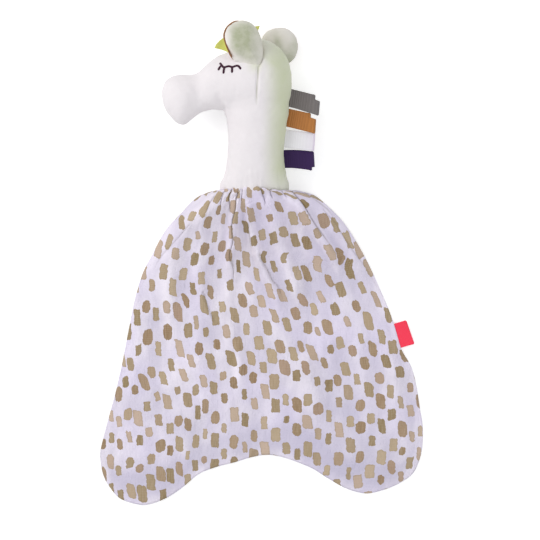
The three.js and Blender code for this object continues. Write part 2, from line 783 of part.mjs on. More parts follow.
function blanket() {
  const group = new THREE.Group();
  group.position.set(0, seamFromOrigin, 0);
  group.add(
    piece('blanket_back', clothLayer(backUnderside), muslin),
    piece('blanket_front', clothLayer(frontUnderside), muslin),
    sideLabel(),
  );
  return group;
}

const lovey = new THREE.Group();
lovey.add(headAndNeck(), blanket());

export default lovey;
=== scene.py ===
# Looks of a comfort blanket for a baby: a plush head on a stuffed neck, with ribbon loops in its
# back seam, sewn to a gathered blanket of two muslin layers. Metres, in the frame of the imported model.

import math

import bmesh
import bpy
import numpy as np
from mathutils import Matrix, Vector, noise
from mathutils.bvhtree import BVHTree


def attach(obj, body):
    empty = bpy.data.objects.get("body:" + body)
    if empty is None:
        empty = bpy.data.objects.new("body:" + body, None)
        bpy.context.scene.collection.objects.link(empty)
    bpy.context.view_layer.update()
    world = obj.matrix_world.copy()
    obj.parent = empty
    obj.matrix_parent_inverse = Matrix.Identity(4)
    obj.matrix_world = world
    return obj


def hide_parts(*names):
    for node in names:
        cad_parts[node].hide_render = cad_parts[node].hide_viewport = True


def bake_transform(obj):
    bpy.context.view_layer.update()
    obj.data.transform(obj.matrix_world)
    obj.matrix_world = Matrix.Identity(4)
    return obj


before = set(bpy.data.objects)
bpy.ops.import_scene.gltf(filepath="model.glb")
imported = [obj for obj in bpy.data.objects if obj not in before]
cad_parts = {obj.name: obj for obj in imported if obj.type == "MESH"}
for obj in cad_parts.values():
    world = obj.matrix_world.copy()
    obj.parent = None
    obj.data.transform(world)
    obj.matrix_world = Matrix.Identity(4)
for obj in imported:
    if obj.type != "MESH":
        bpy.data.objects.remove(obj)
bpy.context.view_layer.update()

MM = 0.001


# ---------------------------------------------------------------------------------------------
# Table, light and camera. The toy lies on a white table under soft studio light from its left,
# and the camera hangs straight above it, so far off that it sees the toy without perspective.

PICTURE = 357.5 * MM  # width and height of what the camera sees
PICTURE_MIDDLE = Vector((5.6 * MM, -4.8 * MM, 0))
LENS = 1000
SENSOR = 36
WARM_WHITE = (1, 0.985, 0.97)
COOL_WHITE = (0.97, 0.98, 1)
SKY_STRENGTH = 0.66
TABLE_HALF = 3
TABLE_DROP = 0.2 * MM  # how far the table lies below the cloth
TABLE_WHITE = 0.86
TABLE_GLOW = 0.46  # only the camera and reflections see it, so that the table looks pure white

camera = bpy.data.objects.new("camera", bpy.data.cameras.new("camera"))
camera.data.lens = LENS
camera.data.sensor_width = SENSOR
camera.location = PICTURE_MIDDLE + Vector((0, 0, PICTURE * LENS / SENSOR))
bpy.context.scene.collection.objects.link(camera)
bpy.context.scene.camera = camera
bpy.context.scene.view_settings.view_transform = "Standard"


def linear(red, green, blue):
    """A colour as a shader wants it, from the 0 to 255 values that a screen shows."""
    return tuple(
        (c / 255 / 12.92 if c <= 10 else ((c / 255 + 0.055) / 1.055) ** 2.4) for c in (red, green, blue)
    ) + (1,)


def lamp(name, place, size, power, colour):
    """A square soft box that looks at the middle of the toy."""
    light = bpy.data.lights.new(name, "AREA")
    light.size = size
    light.energy = power
    light.color = colour
    holder = bpy.data.objects.new(name, light)
    holder.location = place
    holder.rotation_euler = (-Vector(place)).to_track_quat("-Z", "Y").to_euler()
    bpy.context.scene.collection.objects.link(holder)


lamp("window_left", place=(-0.98, 0.5, 0.76), size=1.0, power=8.5, colour=WARM_WHITE)
lamp("fill_right", place=(0.9, -0.4, 1.1), size=1.2, power=4.2, colour=COOL_WHITE)

world = bpy.data.worlds.new("studio")
bpy.context.scene.world = world
world.use_nodes = True
sky = world.node_tree.nodes["Background"]
sky.inputs["Color"].default_value = (*COOL_WHITE, 1)
sky.inputs["Strength"].default_value = SKY_STRENGTH


class Finish:
    """A material whose nodes are added one after another."""

    def __init__(self, name):
        self.material = bpy.data.materials.new(name)
        self.material.use_nodes = True
        self.tree = self.material.node_tree
        self.shader = self.tree.nodes["Principled BSDF"]
        self.output = self.tree.nodes["Material Output"]

    def add(self, kind, settings=None, **inputs):
        node = self.tree.nodes.new("ShaderNode" + kind)
        for key, value in (settings or {}).items():
            setattr(node, key, value)
        for key, value in inputs.items():
            self.feed(node, key.replace("_", " "), value)
        return node

    def feed(self, node, socket, value):
        """Links a node or a socket to a socket, or sets its value. "i6" is the seventh socket."""
        socket = int(socket[1:]) if socket[1:].isdigit() else socket
        if isinstance(value, bpy.types.NodeSocket):
            self.tree.links.new(value, node.inputs[socket])
        elif isinstance(value, bpy.types.Node):
            self.tree.links.new(value.outputs[0], node.inputs[socket])
        else:
            node.inputs[socket].default_value = value

    def math(self, operation, first, second=0.0, third=0.0):
        return self.add("Math", {"operation": operation}, i0=first, i1=second, i2=third)

    def mix(self, share, first, second, blend="MIX"):
        node = self.add("Mix", {"data_type": "RGBA", "blend_type": blend})
        self.feed(node, "i0", share)
        self.feed(node, "i6", first)
        self.feed(node, "i7", second)
        return node.outputs[2]

    def ramp(self, value, low, high, low_value=0.0, high_value=1.0):
        node = self.add("MapRange", {"interpolation_type": "SMOOTHSTEP"}, Value=value)
        limits = {"From Min": low, "From Max": high, "To Min": low_value, "To Max": high_value}
        for socket, number in limits.items():
            node.inputs[socket].default_value = number
        return node

    def noise(self, place, scale, detail=2.0, rough=0.5):
        return self.add("TexNoise", Vector=place, Scale=scale, Detail=detail, Roughness=rough)

    def bands(self, direction, place, scale, distortion):
        settings = {"wave_type": "BANDS", "bands_direction": direction}
        waves = self.add("TexWave", settings, Vector=place, Scale=scale, Distortion=distortion)
        return waves.outputs["Fac"]

    def stretched(self, place, scale):
        return self.add("Mapping", Vector=place, Scale=scale)

    def here(self):
        return self.add("TexCoord").outputs["Object"]

    def attribute(self, name, output="Fac"):
        return self.add("Attribute", {"attribute_name": name}).outputs[output]

    def bump(self, height, distance, strength=1.0, under=None):
        node = self.add("Bump", Height=height, Distance=distance, Strength=strength)
        if under is not None:
            self.feed(node, "Normal", under)
        return node

    def surface(self, colour, normal, roughness, sheen):
        """Cloth: its colour and bump vary, and all the rest is the same all over."""
        self.feed(self.shader, "Base Color", colour)
        self.feed(self.shader, "Normal", normal)
        self.shader.inputs["Roughness"].default_value = roughness
        self.shader.inputs["Sheen Weight"].default_value = sheen
        self.shader.inputs["Sheen Roughness"].default_value = 0.5
        self.shader.inputs["Sheen Tint"].default_value = (1, 1, 1, 1)
        self.shader.inputs["Specular IOR Level"].default_value = 0.2
        return self.material


def finished(name, mesh, material):
    """A piece of the toy, with its mesh and material."""
    piece = bpy.data.objects.new(name, mesh)
    bpy.context.scene.collection.objects.link(piece)
    mesh.materials.clear()
    mesh.materials.append(material)
    mesh.shade_smooth()
    return piece


def as_mesh(name, bm):
    """The mesh of a bmesh, which is done with."""
    mesh = bpy.data.meshes.new(name)
    bm.to_mesh(mesh)
    bm.free()
    return mesh


table_bm = bmesh.new()
bmesh.ops.create_grid(table_bm, x_segments=1, y_segments=1, size=TABLE_HALF)
bmesh.ops.translate(table_bm, verts=table_bm.verts, vec=(0, 0, -TABLE_DROP))
table_top = Finish("white_table")
paint = table_top.add("BsdfDiffuse", Color=(TABLE_WHITE, TABLE_WHITE, TABLE_WHITE, 1))
glow = table_top.add("Emission", Color=(1, 1, 1, 1))
rays = table_top.add("LightPath").outputs
seen = table_top.math("MAXIMUM", rays["Is Glossy Ray"], rays["Is Transmission Ray"])
seen = table_top.math("MAXIMUM", rays["Is Camera Ray"], seen)
table_top.feed(glow, "Strength", table_top.math("MULTIPLY", seen, TABLE_GLOW))
table_top.feed(table_top.output, "Surface", table_top.add("AddShader", i0=paint, i1=glow))
finished("table", as_mesh("table", table_bm), table_top.material)


# ---------------------------------------------------------------------------------------------
# Head, muzzle and neck: one cover of short-pile velour, cut as two mirrored sides, sewn round the
# profile, turned and stuffed tightly with fibre. A dart behind the ear gives the head its roundness.

SWELL = 0.35 * MM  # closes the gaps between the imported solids
COVER_VOXEL = 2.2 * MM
STUFFING_PRESSURE = 4
FILLING_FRAMES = 20
PUFF_CAP = 1.6 * MM  # how far the filling may push the cloth
FOOT_GRIP = 1.5 * MM  # the neck's end is held firmly over this length
PROFILE_HOLD = 0.6  # the profile seam gives a little as the cover is filled, and the dart doesn't
HEAD_MIDDLE = 21 * MM  # height of the profile seam above the table
DART_WIDTH = 0.95 * MM
DART_DEPTH = 1.0 * MM
DART_FOOT = 102 * MM
DART_FADE = 14 * MM
DART = [
    (-1.0, 144.0), (0.4, 138.5), (-0.3, 132.6), (-2.0, 129.2), (-2.5, 123.3), (-3.0, 115.0), (-3.3, 104.7),
]
SEAM_WIDTH = 0.9 * MM
SEAM_DEPTH = 0.55 * MM
SEAM_FOOT = 49 * MM  # the neck's lower end, at the blanket's seam
RIPPLES = [(260, 0.25 * MM), (90, 0.35 * MM)]  # how close and how high the lumps of the stuffing are
PUCKER = 0.9 * MM
PUCKER_GRAIN = (420, 40, 120)  # the puckers run up the neck from its foot
PUCKER_REACH = 9 * MM
FOOT_MIDDLE = 1 * MM  # the neck's foot spreads out to both sides of this
FOOT_FLARE = 0.07
FOOT_FLARE_REACH = 9 * MM
FOOT_TUCK = 4.2 * MM  # how far the neck's end reaches into the blanket
FOOT_TUCK_REACH = 4 * MM
SAGE_SHADE_START = -2 * MM  # the painted sage shade lies behind this line, on the side away from the light, and the line wanders a little
SAGE_SHADE_WANDER = 2 * MM
SAGE_SHADE_WANDER_FINENESS = 60
NECK_SAGE_SHADE_FADE = 16.5 * MM
CROWN_SAGE_SHADE_FADE = 3 * MM
CROWN_START = 125 * MM  # above it, all that is behind the dart gets the painted sage shade
CROWN_FADE = 15 * MM
FOOT_PALER = 0.4  # the painted sage shade is paler at the neck's foot and on the crown
FOOT_PALER_REACH = 14 * MM
CROWN_PALER = 0.35
CROWN_PALER_START = 2 * MM
CROWN_PALER_FADE = 12 * MM
EAR_PATCH = Vector((-3.8 * MM, 130.5 * MM))  # the painted sage shade runs on a little below the ears
EAR_PATCH_REACH = 4.6 * MM
EAR_PATCH_SHADE = 0.62
CHEEK = [(-25.0, 101.0), (-27.7, 107.3), (-29.6, 112.4), (-31.3, 116.6), (-32.4, 121.5)]
CHEEK_WIDTH = 2.0 * MM  # the cheek is where the muzzle folds in
CHEEK_DEPTH = 1.7 * MM
CHEEK_TOP = 122 * MM
CHIN = Vector((-48.5 * MM, 93 * MM))
CHIN_REACH = 10 * MM
CHIN_DROP = Vector((0.1 * MM, -1.6 * MM, 0))


def merged_copy(node, outwards=0.0):
    """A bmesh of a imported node, in one skin, with every point moved outwards."""
    bm = bmesh.new()
    bm.from_mesh(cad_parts[node].data)
    bmesh.ops.remove_doubles(bm, verts=bm.verts, dist=0.02 * MM)
    bm.normal_update()
    for vert in bm.verts:
        vert.co += vert.normal * outwards
    return bm


def add_modifier(piece, kind, **settings):
    modifier = piece.modifiers.new(kind.lower(), kind)
    for key, value in settings.items():
        setattr(modifier, key, value)
    return modifier


def apply_modifiers(piece):
    """The piece's mesh becomes what its modifiers make of it."""
    evaluated = piece.evaluated_get(bpy.context.evaluated_depsgraph_get())
    made = bpy.data.meshes.new_from_object(evaluated)
    piece.modifiers.clear()
    piece.data = made


def blow_up(piece, pinned, pressure, cap):
    """The filling pushes the cover out frame by frame, and the pinned seams hold it back."""
    before = [vert.co.copy() for vert in piece.data.vertices]
    group = piece.vertex_groups.new(name="seams")
    for vert in piece.data.vertices:
        group.add([vert.index], pinned(vert.co), "REPLACE")
    cloth = piece.modifiers.new("filling", "CLOTH")
    cloth.settings.quality = 6
    cloth.settings.mass = 0.2
    cloth.settings.use_pressure = True
    cloth.settings.uniform_pressure_force = pressure
    cloth.settings.effector_weights.gravity = 0
    cloth.settings.vertex_group_mass = "seams"
    cloth.settings.pin_stiffness = 1
    for frame_number in range(1, FILLING_FRAMES + 1):
        bpy.context.scene.frame_set(frame_number)
    apply_modifiers(piece)
    bpy.context.scene.frame_set(1)
    for vert, place in zip(piece.data.vertices, before):
        step = vert.co - place
        vert.co = place + step * min(1, cap / max(step.length, 1e-9))
    piece.vertex_groups.clear()


def distance_to_path(point, path):
    """Distance in the picture plane from a point to a line of points."""
    flat = Vector((point.x, point.y, 0))
    best = 1.0
    for start, end in zip(path, path[1:]):
        run = end - start
        share = max(0, min(1, (flat - start).dot(run) / run.length_squared))
        best = min(best, (flat - start - run * share).length)
    return best


def rise(share):
    """Smooth step from 0 to 1."""
    t = max(0, min(1, share))
    return t * t * (3 - 2 * t)


def hump(distance, width):
    """1 at no distance, and next to nothing beyond twice the width."""
    return math.exp(-((distance / width) ** 2))


dart_path = [Vector((x * MM, y * MM, 0)) for x, y in DART]
cheek_path = [Vector((x * MM, y * MM, 0)) for x, y in CHEEK]
cover_bm = bmesh.new()
for node in ("head", "muzzle", "neck"):
    part_mesh = as_mesh(node + "_copy", merged_copy(node, SWELL))
    cover_bm.from_mesh(part_mesh)
    bpy.data.meshes.remove(part_mesh)
cover_material = Finish("velour")
cover = finished("plush_cover", as_mesh("plush_cover", cover_bm), cover_material.material)
add_modifier(cover, "REMESH", mode="VOXEL", voxel_size=COVER_VOXEL)
add_modifier(cover, "SMOOTH", factor=0.6, iterations=14)
apply_modifiers(cover)


def seam_hold(place):
    """How firmly a point of the cover is held: by the profile seam, by the dart and at the foot."""
    profile = hump(place.z - HEAD_MIDDLE, 2 * SEAM_WIDTH)
    dart = hump(distance_to_path(place, dart_path), 2 * DART_WIDTH)
    return min(1, max(PROFILE_HOLD * profile, dart, 1 if place.y < SEAM_FOOT + FOOT_GRIP else 0))


blow_up(cover, seam_hold, STUFFING_PRESSURE, PUFF_CAP)
add_modifier(cover, "SUBSURF", levels=1, render_levels=1)
apply_modifiers(cover)

dart_distance = cover.data.attributes.new("dart", "FLOAT", "POINT")
sage_shade_amount = cover.data.attributes.new("sage_shade", "FLOAT", "POINT")
normals = [vert.normal.copy() for vert in cover.data.vertices]
for vert, normal in zip(cover.data.vertices, normals):
    from_dart = distance_to_path(vert.co, dart_path)
    dart_distance.data[vert.index].value = from_dart / MM
    groove = DART_DEPTH * rise((vert.co.y - DART_FOOT) / DART_FADE) * hump(from_dart, DART_WIDTH)
    groove += SEAM_DEPTH * hump(vert.co.z - HEAD_MIDDLE, SEAM_WIDTH)
    fold_in = CHEEK_DEPTH * rise((CHEEK_TOP - vert.co.y) / (CHEEK_TOP - cheek_path[0].y))
    groove += fold_in * hump(distance_to_path(vert.co, cheek_path), CHEEK_WIDTH)
    ripple = sum(noise.noise(vert.co * fineness) * height for fineness, height in RIPPLES)
    pull = math.exp(-max(vert.co.y - SEAM_FOOT, 0) / PUCKER_REACH)
    ripple += PUCKER * pull * noise.noise([c * fineness for c, fineness in zip(vert.co, PUCKER_GRAIN)])
    vert.co += normal * (ripple - groove)
    vert.co += CHIN_DROP * hump((vert.co.xy - CHIN).length, CHIN_REACH)
    flare = FOOT_FLARE * (1 - rise((vert.co.y - SEAM_FOOT) / FOOT_FLARE_REACH))
    vert.co.x += (vert.co.x - FOOT_MIDDLE) * flare
    vert.co.y -= FOOT_TUCK * (1 - rise((vert.co.y - SEAM_FOOT) / FOOT_TUCK_REACH))
    vert.co.z = max(vert.co.z, 0)
    # Painted sage shade on the side away from the light: behind a wandering line, paler at the neck's foot
    # and on the crown, and running on below the ears
    crown = rise((vert.co.y - CROWN_START) / CROWN_FADE)
    shade_start = SAGE_SHADE_START + SAGE_SHADE_WANDER * noise.noise(vert.co * SAGE_SHADE_WANDER_FINENESS)
    shade_fade = CROWN_SAGE_SHADE_FADE * crown + NECK_SAGE_SHADE_FADE * (1 - crown)
    sage_shade = rise((vert.co.x - shade_start) / shade_fade)
    sage_shade *= 1 - FOOT_PALER * (1 - rise((vert.co.y - SEAM_FOOT) / FOOT_PALER_REACH))
    sage_shade *= 1 - CROWN_PALER * crown * (1 - rise((vert.co.x - CROWN_PALER_START) / CROWN_PALER_FADE))
    patch = EAR_PATCH_SHADE * hump((vert.co.xy - EAR_PATCH).length, EAR_PATCH_REACH)
    sage_shade_amount.data[vert.index].value = max(sage_shade, patch)

IVORY = linear(236, 231, 233)
IVORY_SHADE = linear(222, 215, 218)
# painted shade: the velour's colour where it turns away from the light
SAGE_SHADE = linear(209, 214, 183)
DART_SHADE = linear(160, 164, 130)
PILE_SCALE = 2600
HEAD_TUFT_SCALE = 700


def velour_bump(velour, here, tuft_scale):
    """The short pile: fine fibres on soft tufts."""
    pile = velour.noise(here, PILE_SCALE, 3, 0.7)
    tufts = velour.noise(here, tuft_scale, 2, 0.6)
    pile_bump = velour.bump(pile.outputs["Fac"], 0.3 * MM, 0.5)
    return velour.bump(tufts.outputs["Fac"], 0.4 * MM, 0.35, under=pile_bump)


here = cover_material.here()
# the painted sage shade, broken up in clouds, over the pile's own mottled ivory
clouds = cover_material.noise(here, 110, 3, 0.6)
sage_shade_share = cover_material.math("MULTIPLY_ADD", clouds.outputs["Fac"], 0.4, 0.75)
sage_shade_share = cover_material.math("MULTIPLY", cover_material.attribute("sage_shade"), sage_shade_share)
sage_shade_share = cover_material.math("MINIMUM", sage_shade_share, 1.0)
mottle = cover_material.ramp(cover_material.noise(here, 140, 4, 0.6).outputs["Fac"], 0.3, 0.75)
pile_tone = cover_material.mix(cover_material.math("MULTIPLY", mottle, 0.12), IVORY, IVORY_SHADE)
velour_colour = cover_material.mix(sage_shade_share, pile_tone, SAGE_SHADE)
dart_shade = cover_material.ramp(cover_material.attribute("dart"), 0.25, 0.9, 0.45, 0.0)
height_on_head = cover_material.add("SeparateXYZ", Vector=here).outputs["Y"]
dart_end = cover_material.ramp(height_on_head, 104 * MM, 113 * MM, 0.2, 1.0)
dart_shade = cover_material.math("MULTIPLY", dart_shade, dart_end)
velour_colour = cover_material.mix(dart_shade, velour_colour, DART_SHADE)
pile_bump = velour_bump(cover_material, here, HEAD_TUFT_SCALE)
cover_material.surface(velour_colour, pile_bump, roughness=0.95, sheen=0.35)
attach(cover, "head_and_neck")
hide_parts("head", "muzzle", "neck")


# ---------------------------------------------------------------------------------------------
# Blanket: two panels of printed double gauze, sewn together round the edge, turned, and gathered
# into the neck seam. The front panel is wider than it lies: the rest is taken up by its pleats.

SEAM_Y = 48.5  # the sizes of the cloth are in millimetres up to the end of this section
SEAM_MIDDLE = (-4.41, 14.85)  # x and height of the middle of the neck's foot
SEAM_HALF_WIDTH = 23.1
SEAM_HALF_DEPTH = 15.35
CLOTH_WIDTH = 213.4
CLOTH_LENGTH = 208.5
CLOTH = 0.7  # its thickness
AIR_BETWEEN = 2.2  # between the two layers
RIM_HEIGHT = 1.5
BACK_RIM_HEIGHT = 1.2
RIM_ROUND = 2.0
ROW_CROWDING = 1.35  # the rows of the grid lie closer together towards the neck
DRAFT_END_SHARE = 0.4
GRAIN_END_SHARE = 0.7  # below it, the print's rows run straight across
GATHER_SHARE = 0.3  # how much wider the flat cloth is than its gathers, at the seam
GATHER_REACH = 18
FAN_SHARE = 0.12  # the grain of the cloth still spreads a little further down
FAN_REACH = 80
NOISE_REACH = 1.6  # brings the noise to about 1 at most
# Painted shade in the cloth's hollows, found against the cloth round them
HOLLOW_PASSES = 60
HOLLOW_DEPTH = 1.6
HOLLOW_BIAS = 0.35
HOLLOW_RIM = 8

# The cloth's edge, in shares of its width and length: down both sides, and along the hem
LEFT_SHARES = [
    (-0.195, -0.024), (-0.247, -0.075), (-0.299, -0.135), (-0.34, -0.211), (-0.3675, -0.265),
    (-0.3905, -0.341), (-0.405, -0.41), (-0.442, -0.6), (-0.491, -0.792), (-0.5, -0.843),
    (-0.4945, -0.889), (-0.4855, -0.916),
]
RIGHT_SHARES = [
    (0.135, -0.0105), (0.168, -0.023), (0.2094, -0.0587), (0.2553, -0.108), (0.301, -0.18),
    (0.3384, -0.2524), (0.38, -0.346), (0.409, -0.423), (0.434, -0.5076), (0.4637, -0.5616),
    (0.479, -0.619), (0.4907, -0.6924), (0.5, -0.754), (0.4978, -0.824), (0.483, -0.877),
    (0.4684, -0.8968),
]
HEM_SHARES = [
    (-0.472, -0.9425), (-0.438, -0.981), (-0.3815, -1), (-0.344, -0.9985), (-0.291, -0.977),
    (-0.2465, -0.9465), (-0.194, -0.903), (-0.141, -0.881), (-0.0806, -0.865), (-0.0326, -0.85),
    (0.0186, -0.842), (0.0658, -0.85), (0.1148, -0.867), (0.1597, -0.8866), (0.205, -0.916),
    (0.2575, -0.9465), (0.3024, -0.9616), (0.3397, -0.9635), (0.404, -0.944), (0.4532, -0.916),
]


def spline(points, count=400):
    """A smooth line through the points, as evenly spaced points."""
    control = np.array([points[0], *points, points[-1]], float)
    pieces = []
    for a, b, c, d in zip(control, control[1:], control[2:], control[3:]):
        t = np.linspace(0, 1, 24, endpoint=False)[:, None]
        pieces.append(b + 0.5 * t * (c - a + t * (2 * a - 5 * b + 4 * c - d + t * (3 * (b - c) + d - a))))
    line = np.vstack([*pieces, control[-1:]])
    run = np.concatenate([[0], np.cumsum(np.linalg.norm(np.diff(line, axis=0), axis=1))])
    even = np.linspace(0, run[-1], count)
    return np.stack([np.interp(even, run, line[:, axis]) for axis in range(line.shape[1])], 1)


def along(line, share):
    """Points of an even line at shares of its length."""
    steps = np.linspace(0, 1, len(line))
    return np.stack([np.interp(share, steps, line[:, axis]) for axis in (0, 1)], -1)


def outline(shares):
    return [(x * CLOTH_WIDTH, SEAM_Y + y * CLOTH_LENGTH) for x, y in shares]


seam_line = np.array([(SEAM_MIDDLE[0] + side * SEAM_HALF_WIDTH, SEAM_Y) for side in (-1, 1)])
left_line = spline([seam_line[0], *outline(LEFT_SHARES)])
right_line = spline([seam_line[1], *outline(RIGHT_SHARES)])
hem_line = spline([left_line[-1], *outline(HEM_SHARES), right_line[-1]])


def smooth(share):
    t = np.clip(share, 0, 1)
    return t * t * (3 - 2 * t)


def mix(first, second, share):
    return first + (second - first) * share


def ridge(distance, width):
    """1 on a line, and next to nothing beyond twice the width."""
    return np.exp(-((distance / width) ** 2))


def run_length(places, axis):
    """Length of cloth from the first row or column of a grid of places to each of them."""
    steps = np.linalg.norm(np.diff(places, axis=axis), axis=2)
    pad = [(0, 0), (0, 0)]
    pad[axis] = (1, 0)
    return np.pad(np.cumsum(steps, axis=axis), pad)


class Panel:
    """A grid of cloth in plan: across from 0 left to 1 right, down from 0 at the neck to 1 at the hem,
    and side from -1 left to 1 right."""

    def __init__(self, name, columns, rows):
        self.name = name
        self.bm = bmesh.new()
        bmesh.ops.create_grid(self.bm, x_segments=columns, y_segments=rows, size=1)
        self.bm.verts.ensure_lookup_table()
        self.shape = (rows + 1, columns + 1)
        grid = np.array([vert.co for vert in self.bm.verts])
        self.order = np.lexsort((grid[:, 0], -grid[:, 1]))
        grid = grid[self.order].reshape(*self.shape, 3)
        self.across = (grid[..., 0] + 1) / 2
        self.down = ((1 - grid[..., 1]) / 2) ** ROW_CROWDING
        self.side = 2 * self.across - 1
        self.lay_out()

    def lay_out(self):
        """Places in plan, and how far each one is from the rim, from the seam and from the left side."""
        a, d = self.across[..., None], self.down[..., None]
        left, right = along(left_line, self.down), along(right_line, self.down)
        seam, hem = along(seam_line, self.across), along(hem_line, self.across)
        corners = mix(mix(left_line[0], right_line[0], a), mix(left_line[-1], right_line[-1], a), d)
        self.plan = mix(left, right, a) + mix(seam, hem, d) - corners
        rim = np.vstack([left_line, hem_line, right_line[::-1]])[::3]
        nearest = [np.linalg.norm(rim - place, axis=1).min() for place in self.plan.reshape(-1, 2)]
        self.from_rim = np.array(nearest).reshape(self.shape)
        self.from_seam = run_length(self.plan, 0)
        self.from_left = run_length(self.plan, 1)
        self.draft = 1 - smooth(self.down / DRAFT_END_SHARE)

    def rough(self, scale, seed, stretch=1.0):
        """Smooth seeded noise over the plan, from about -1 to 1."""
        places = self.plan.reshape(-1, 2)
        values = [noise.noise((x / scale, y / (scale * stretch), seed)) for x, y in places]
        return np.array(values).reshape(self.shape) * NOISE_REACH

    def mesh(self, height, base, hidden=0, crack_shades=0, shades=0):
        """Places the cloth at its height and prints it: its UV map is the flat cloth, in metres."""
        places = np.concatenate([self.plan, height[..., None]], axis=2)
        for vert_index, place in zip(self.order, places.reshape(-1, 3)):
            self.bm.verts[vert_index].co = Vector(place) * MM
        fan = FAN_SHARE * np.exp(-self.from_seam / FAN_REACH)
        gathers = GATHER_SHARE * np.exp(-self.from_seam / GATHER_REACH)
        on_base = np.concatenate([self.plan, base[..., None]], axis=2)
        u = run_length(on_base, 1) * (1 + gathers + fan) + hidden
        u -= u[:, self.shape[1] // 2, None]
        v = run_length(on_base, 0)
        v -= (v[-1] - (SEAM_Y - self.plan[-1, :, 1])) * smooth(self.down / GRAIN_END_SHARE)
        flat = np.empty((u.size, 2))
        flat[self.order] = np.stack([u.ravel(), -v.ravel()], 1) * MM
        layer = self.bm.loops.layers.uv.new("cloth")
        for face in self.bm.faces:
            for loop in face.loops:
                loop[layer].uv = flat[loop.vert.index]
        mesh = as_mesh(self.name, self.bm)
        # painted shade: in the pleats' cracks and between the tucks, and in the hollows, with the broad
        # painted light and shade
        for attribute, values in (("painted_crack_shade", crack_shades), ("painted_hollow_shade", self.hollows(height) + shades)):
            ordered = np.zeros(u.size)
            ordered[self.order] = np.broadcast_to(values, self.shape).ravel()
            mesh.attributes.new(attribute, "FLOAT", "POINT").data.foreach_set("value", ordered)
        return mesh

    def hollows(self, height):
        """How deep each point lies below the cloth round it, from 0 to 1, which sets the painted shade in
        its hollow.
        """
        mean = height.copy()
        for _ in range(HOLLOW_PASSES):
            for axis in (0, 1):
                mean = (np.roll(mean, 1, axis) + mean + np.roll(mean, -1, axis)) / 3
        depth = smooth((mean - height) / HOLLOW_DEPTH + HOLLOW_BIAS)
        return depth * smooth(self.from_rim / HOLLOW_RIM)


def arch(side):
    """Section of the neck's foot: 1 over its middle, 0 at its sides."""
    return np.sqrt(np.clip(1 - side * side, 0, 1))


CREASE_POINTS = 120
CREASE_END = 1.2  # a crease runs out over this distance beyond its ends
CREASE_NEAR = 1.5  # a row of cloth crosses a crease if it comes as near as this


class Crease:
    """A line on the cloth: how far each point is to its right going down, and how strong it is there."""

    def __init__(self, panel, points, fade):
        line = spline(points, CREASE_POINTS)
        gap = np.full(panel.shape, 1e9)
        self.signed = np.zeros(panel.shape)
        place = np.zeros(panel.shape)
        steps = np.diff(line, axis=0)
        for i, (start, step) in enumerate(zip(line, steps)):
            offset = panel.plan - start
            distance = np.hypot(offset[..., 0], offset[..., 1])
            nearer = distance < gap
            gap = np.where(nearer, distance, gap)
            cross = (step[0] * offset[..., 1] - step[1] * offset[..., 0]) / np.hypot(*step)
            self.signed = np.where(nearer, cross, self.signed)
            place = np.where(nearer, i / len(steps), place)
        beyond = np.sqrt(np.maximum(gap * gap - self.signed ** 2, 0))
        fading = smooth(place / fade[0]) * smooth((1 - place) / fade[1])
        self.strength = fading * ridge(beyond, CREASE_END)
        rows = np.arange(panel.shape[0])
        nearest = gap.argmin(axis=1)
        self.crossing = panel.from_left[rows, nearest][:, None]
        crossed_at = place[rows, nearest]
        taken = (1 - crossed_at) * smooth(crossed_at / fade[0]) * (gap.min(axis=1) < CREASE_NEAR)
        self.taken = np.convolve(taken, np.ones(5) / 5, mode="same")[:, None]

    def hides(self, panel, amount):
        """Cloth that the crease has taken up, left of each point."""
        return self.taken * amount * smooth(panel.from_left - self.crossing + 0.5)


FOLD_FADE = (0.1, 0.35)  # shares of its length over which a fold begins and ends
FOLD_BOOST = 2.2  # the soft folds are this much taller than the heights given here
# Soft folds of the front panel: a line in the plan, half width and height, below zero for a valley
SOFT_FOLDS = [
    ([(-16, 44), (-19, 22), (-20, 2), (-17, -14)], 3.4, 2.6),
    ([(-24, 46), (-37, 30), (-40, 4), (-39, -20), (-32, -34), (-26, -46)], 6.0, 1.7),
    ([(-33, 40), (-52, 22), (-60, -8), (-62, -40)], 6.5, 1.5),
    ([(-44, 34), (-64, 8), (-72, -30)], 6.0, 1.0),
    ([(-8, 44), (-8, 26), (-3, 8), (2, -8), (9, -22), (17, -40)], 3.2, 2.2),
    ([(2, 45), (8, 30), (14, 10), (22, -12), (30, -34)], 5.0, 1.6),
    ([(14, 46), (24, 38), (34, 24), (46, 6), (54, -14)], 3.6, 2.4),
    ([(20, 47), (36, 38), (52, 22), (64, 0), (72, -26)], 6.0, 1.6),
    ([(-15, -50), (-15, -66), (-14, -86)], 3.4, 1.0),
    ([(-74, -30), (-74, -80), (-76, -116)], 9.0, -1.0),
    ([(-45, -60), (-46, -88), (-40, -112)], 8.0, 0.9),
    ([(48, -50), (56, -84), (60, -118)], 10.0, -0.9),
    ([(30, -56), (33, -88), (36, -116)], 8.0, 0.7),
    ([(84, -52), (88, -84), (86, -118)], 8.0, 0.7),
]
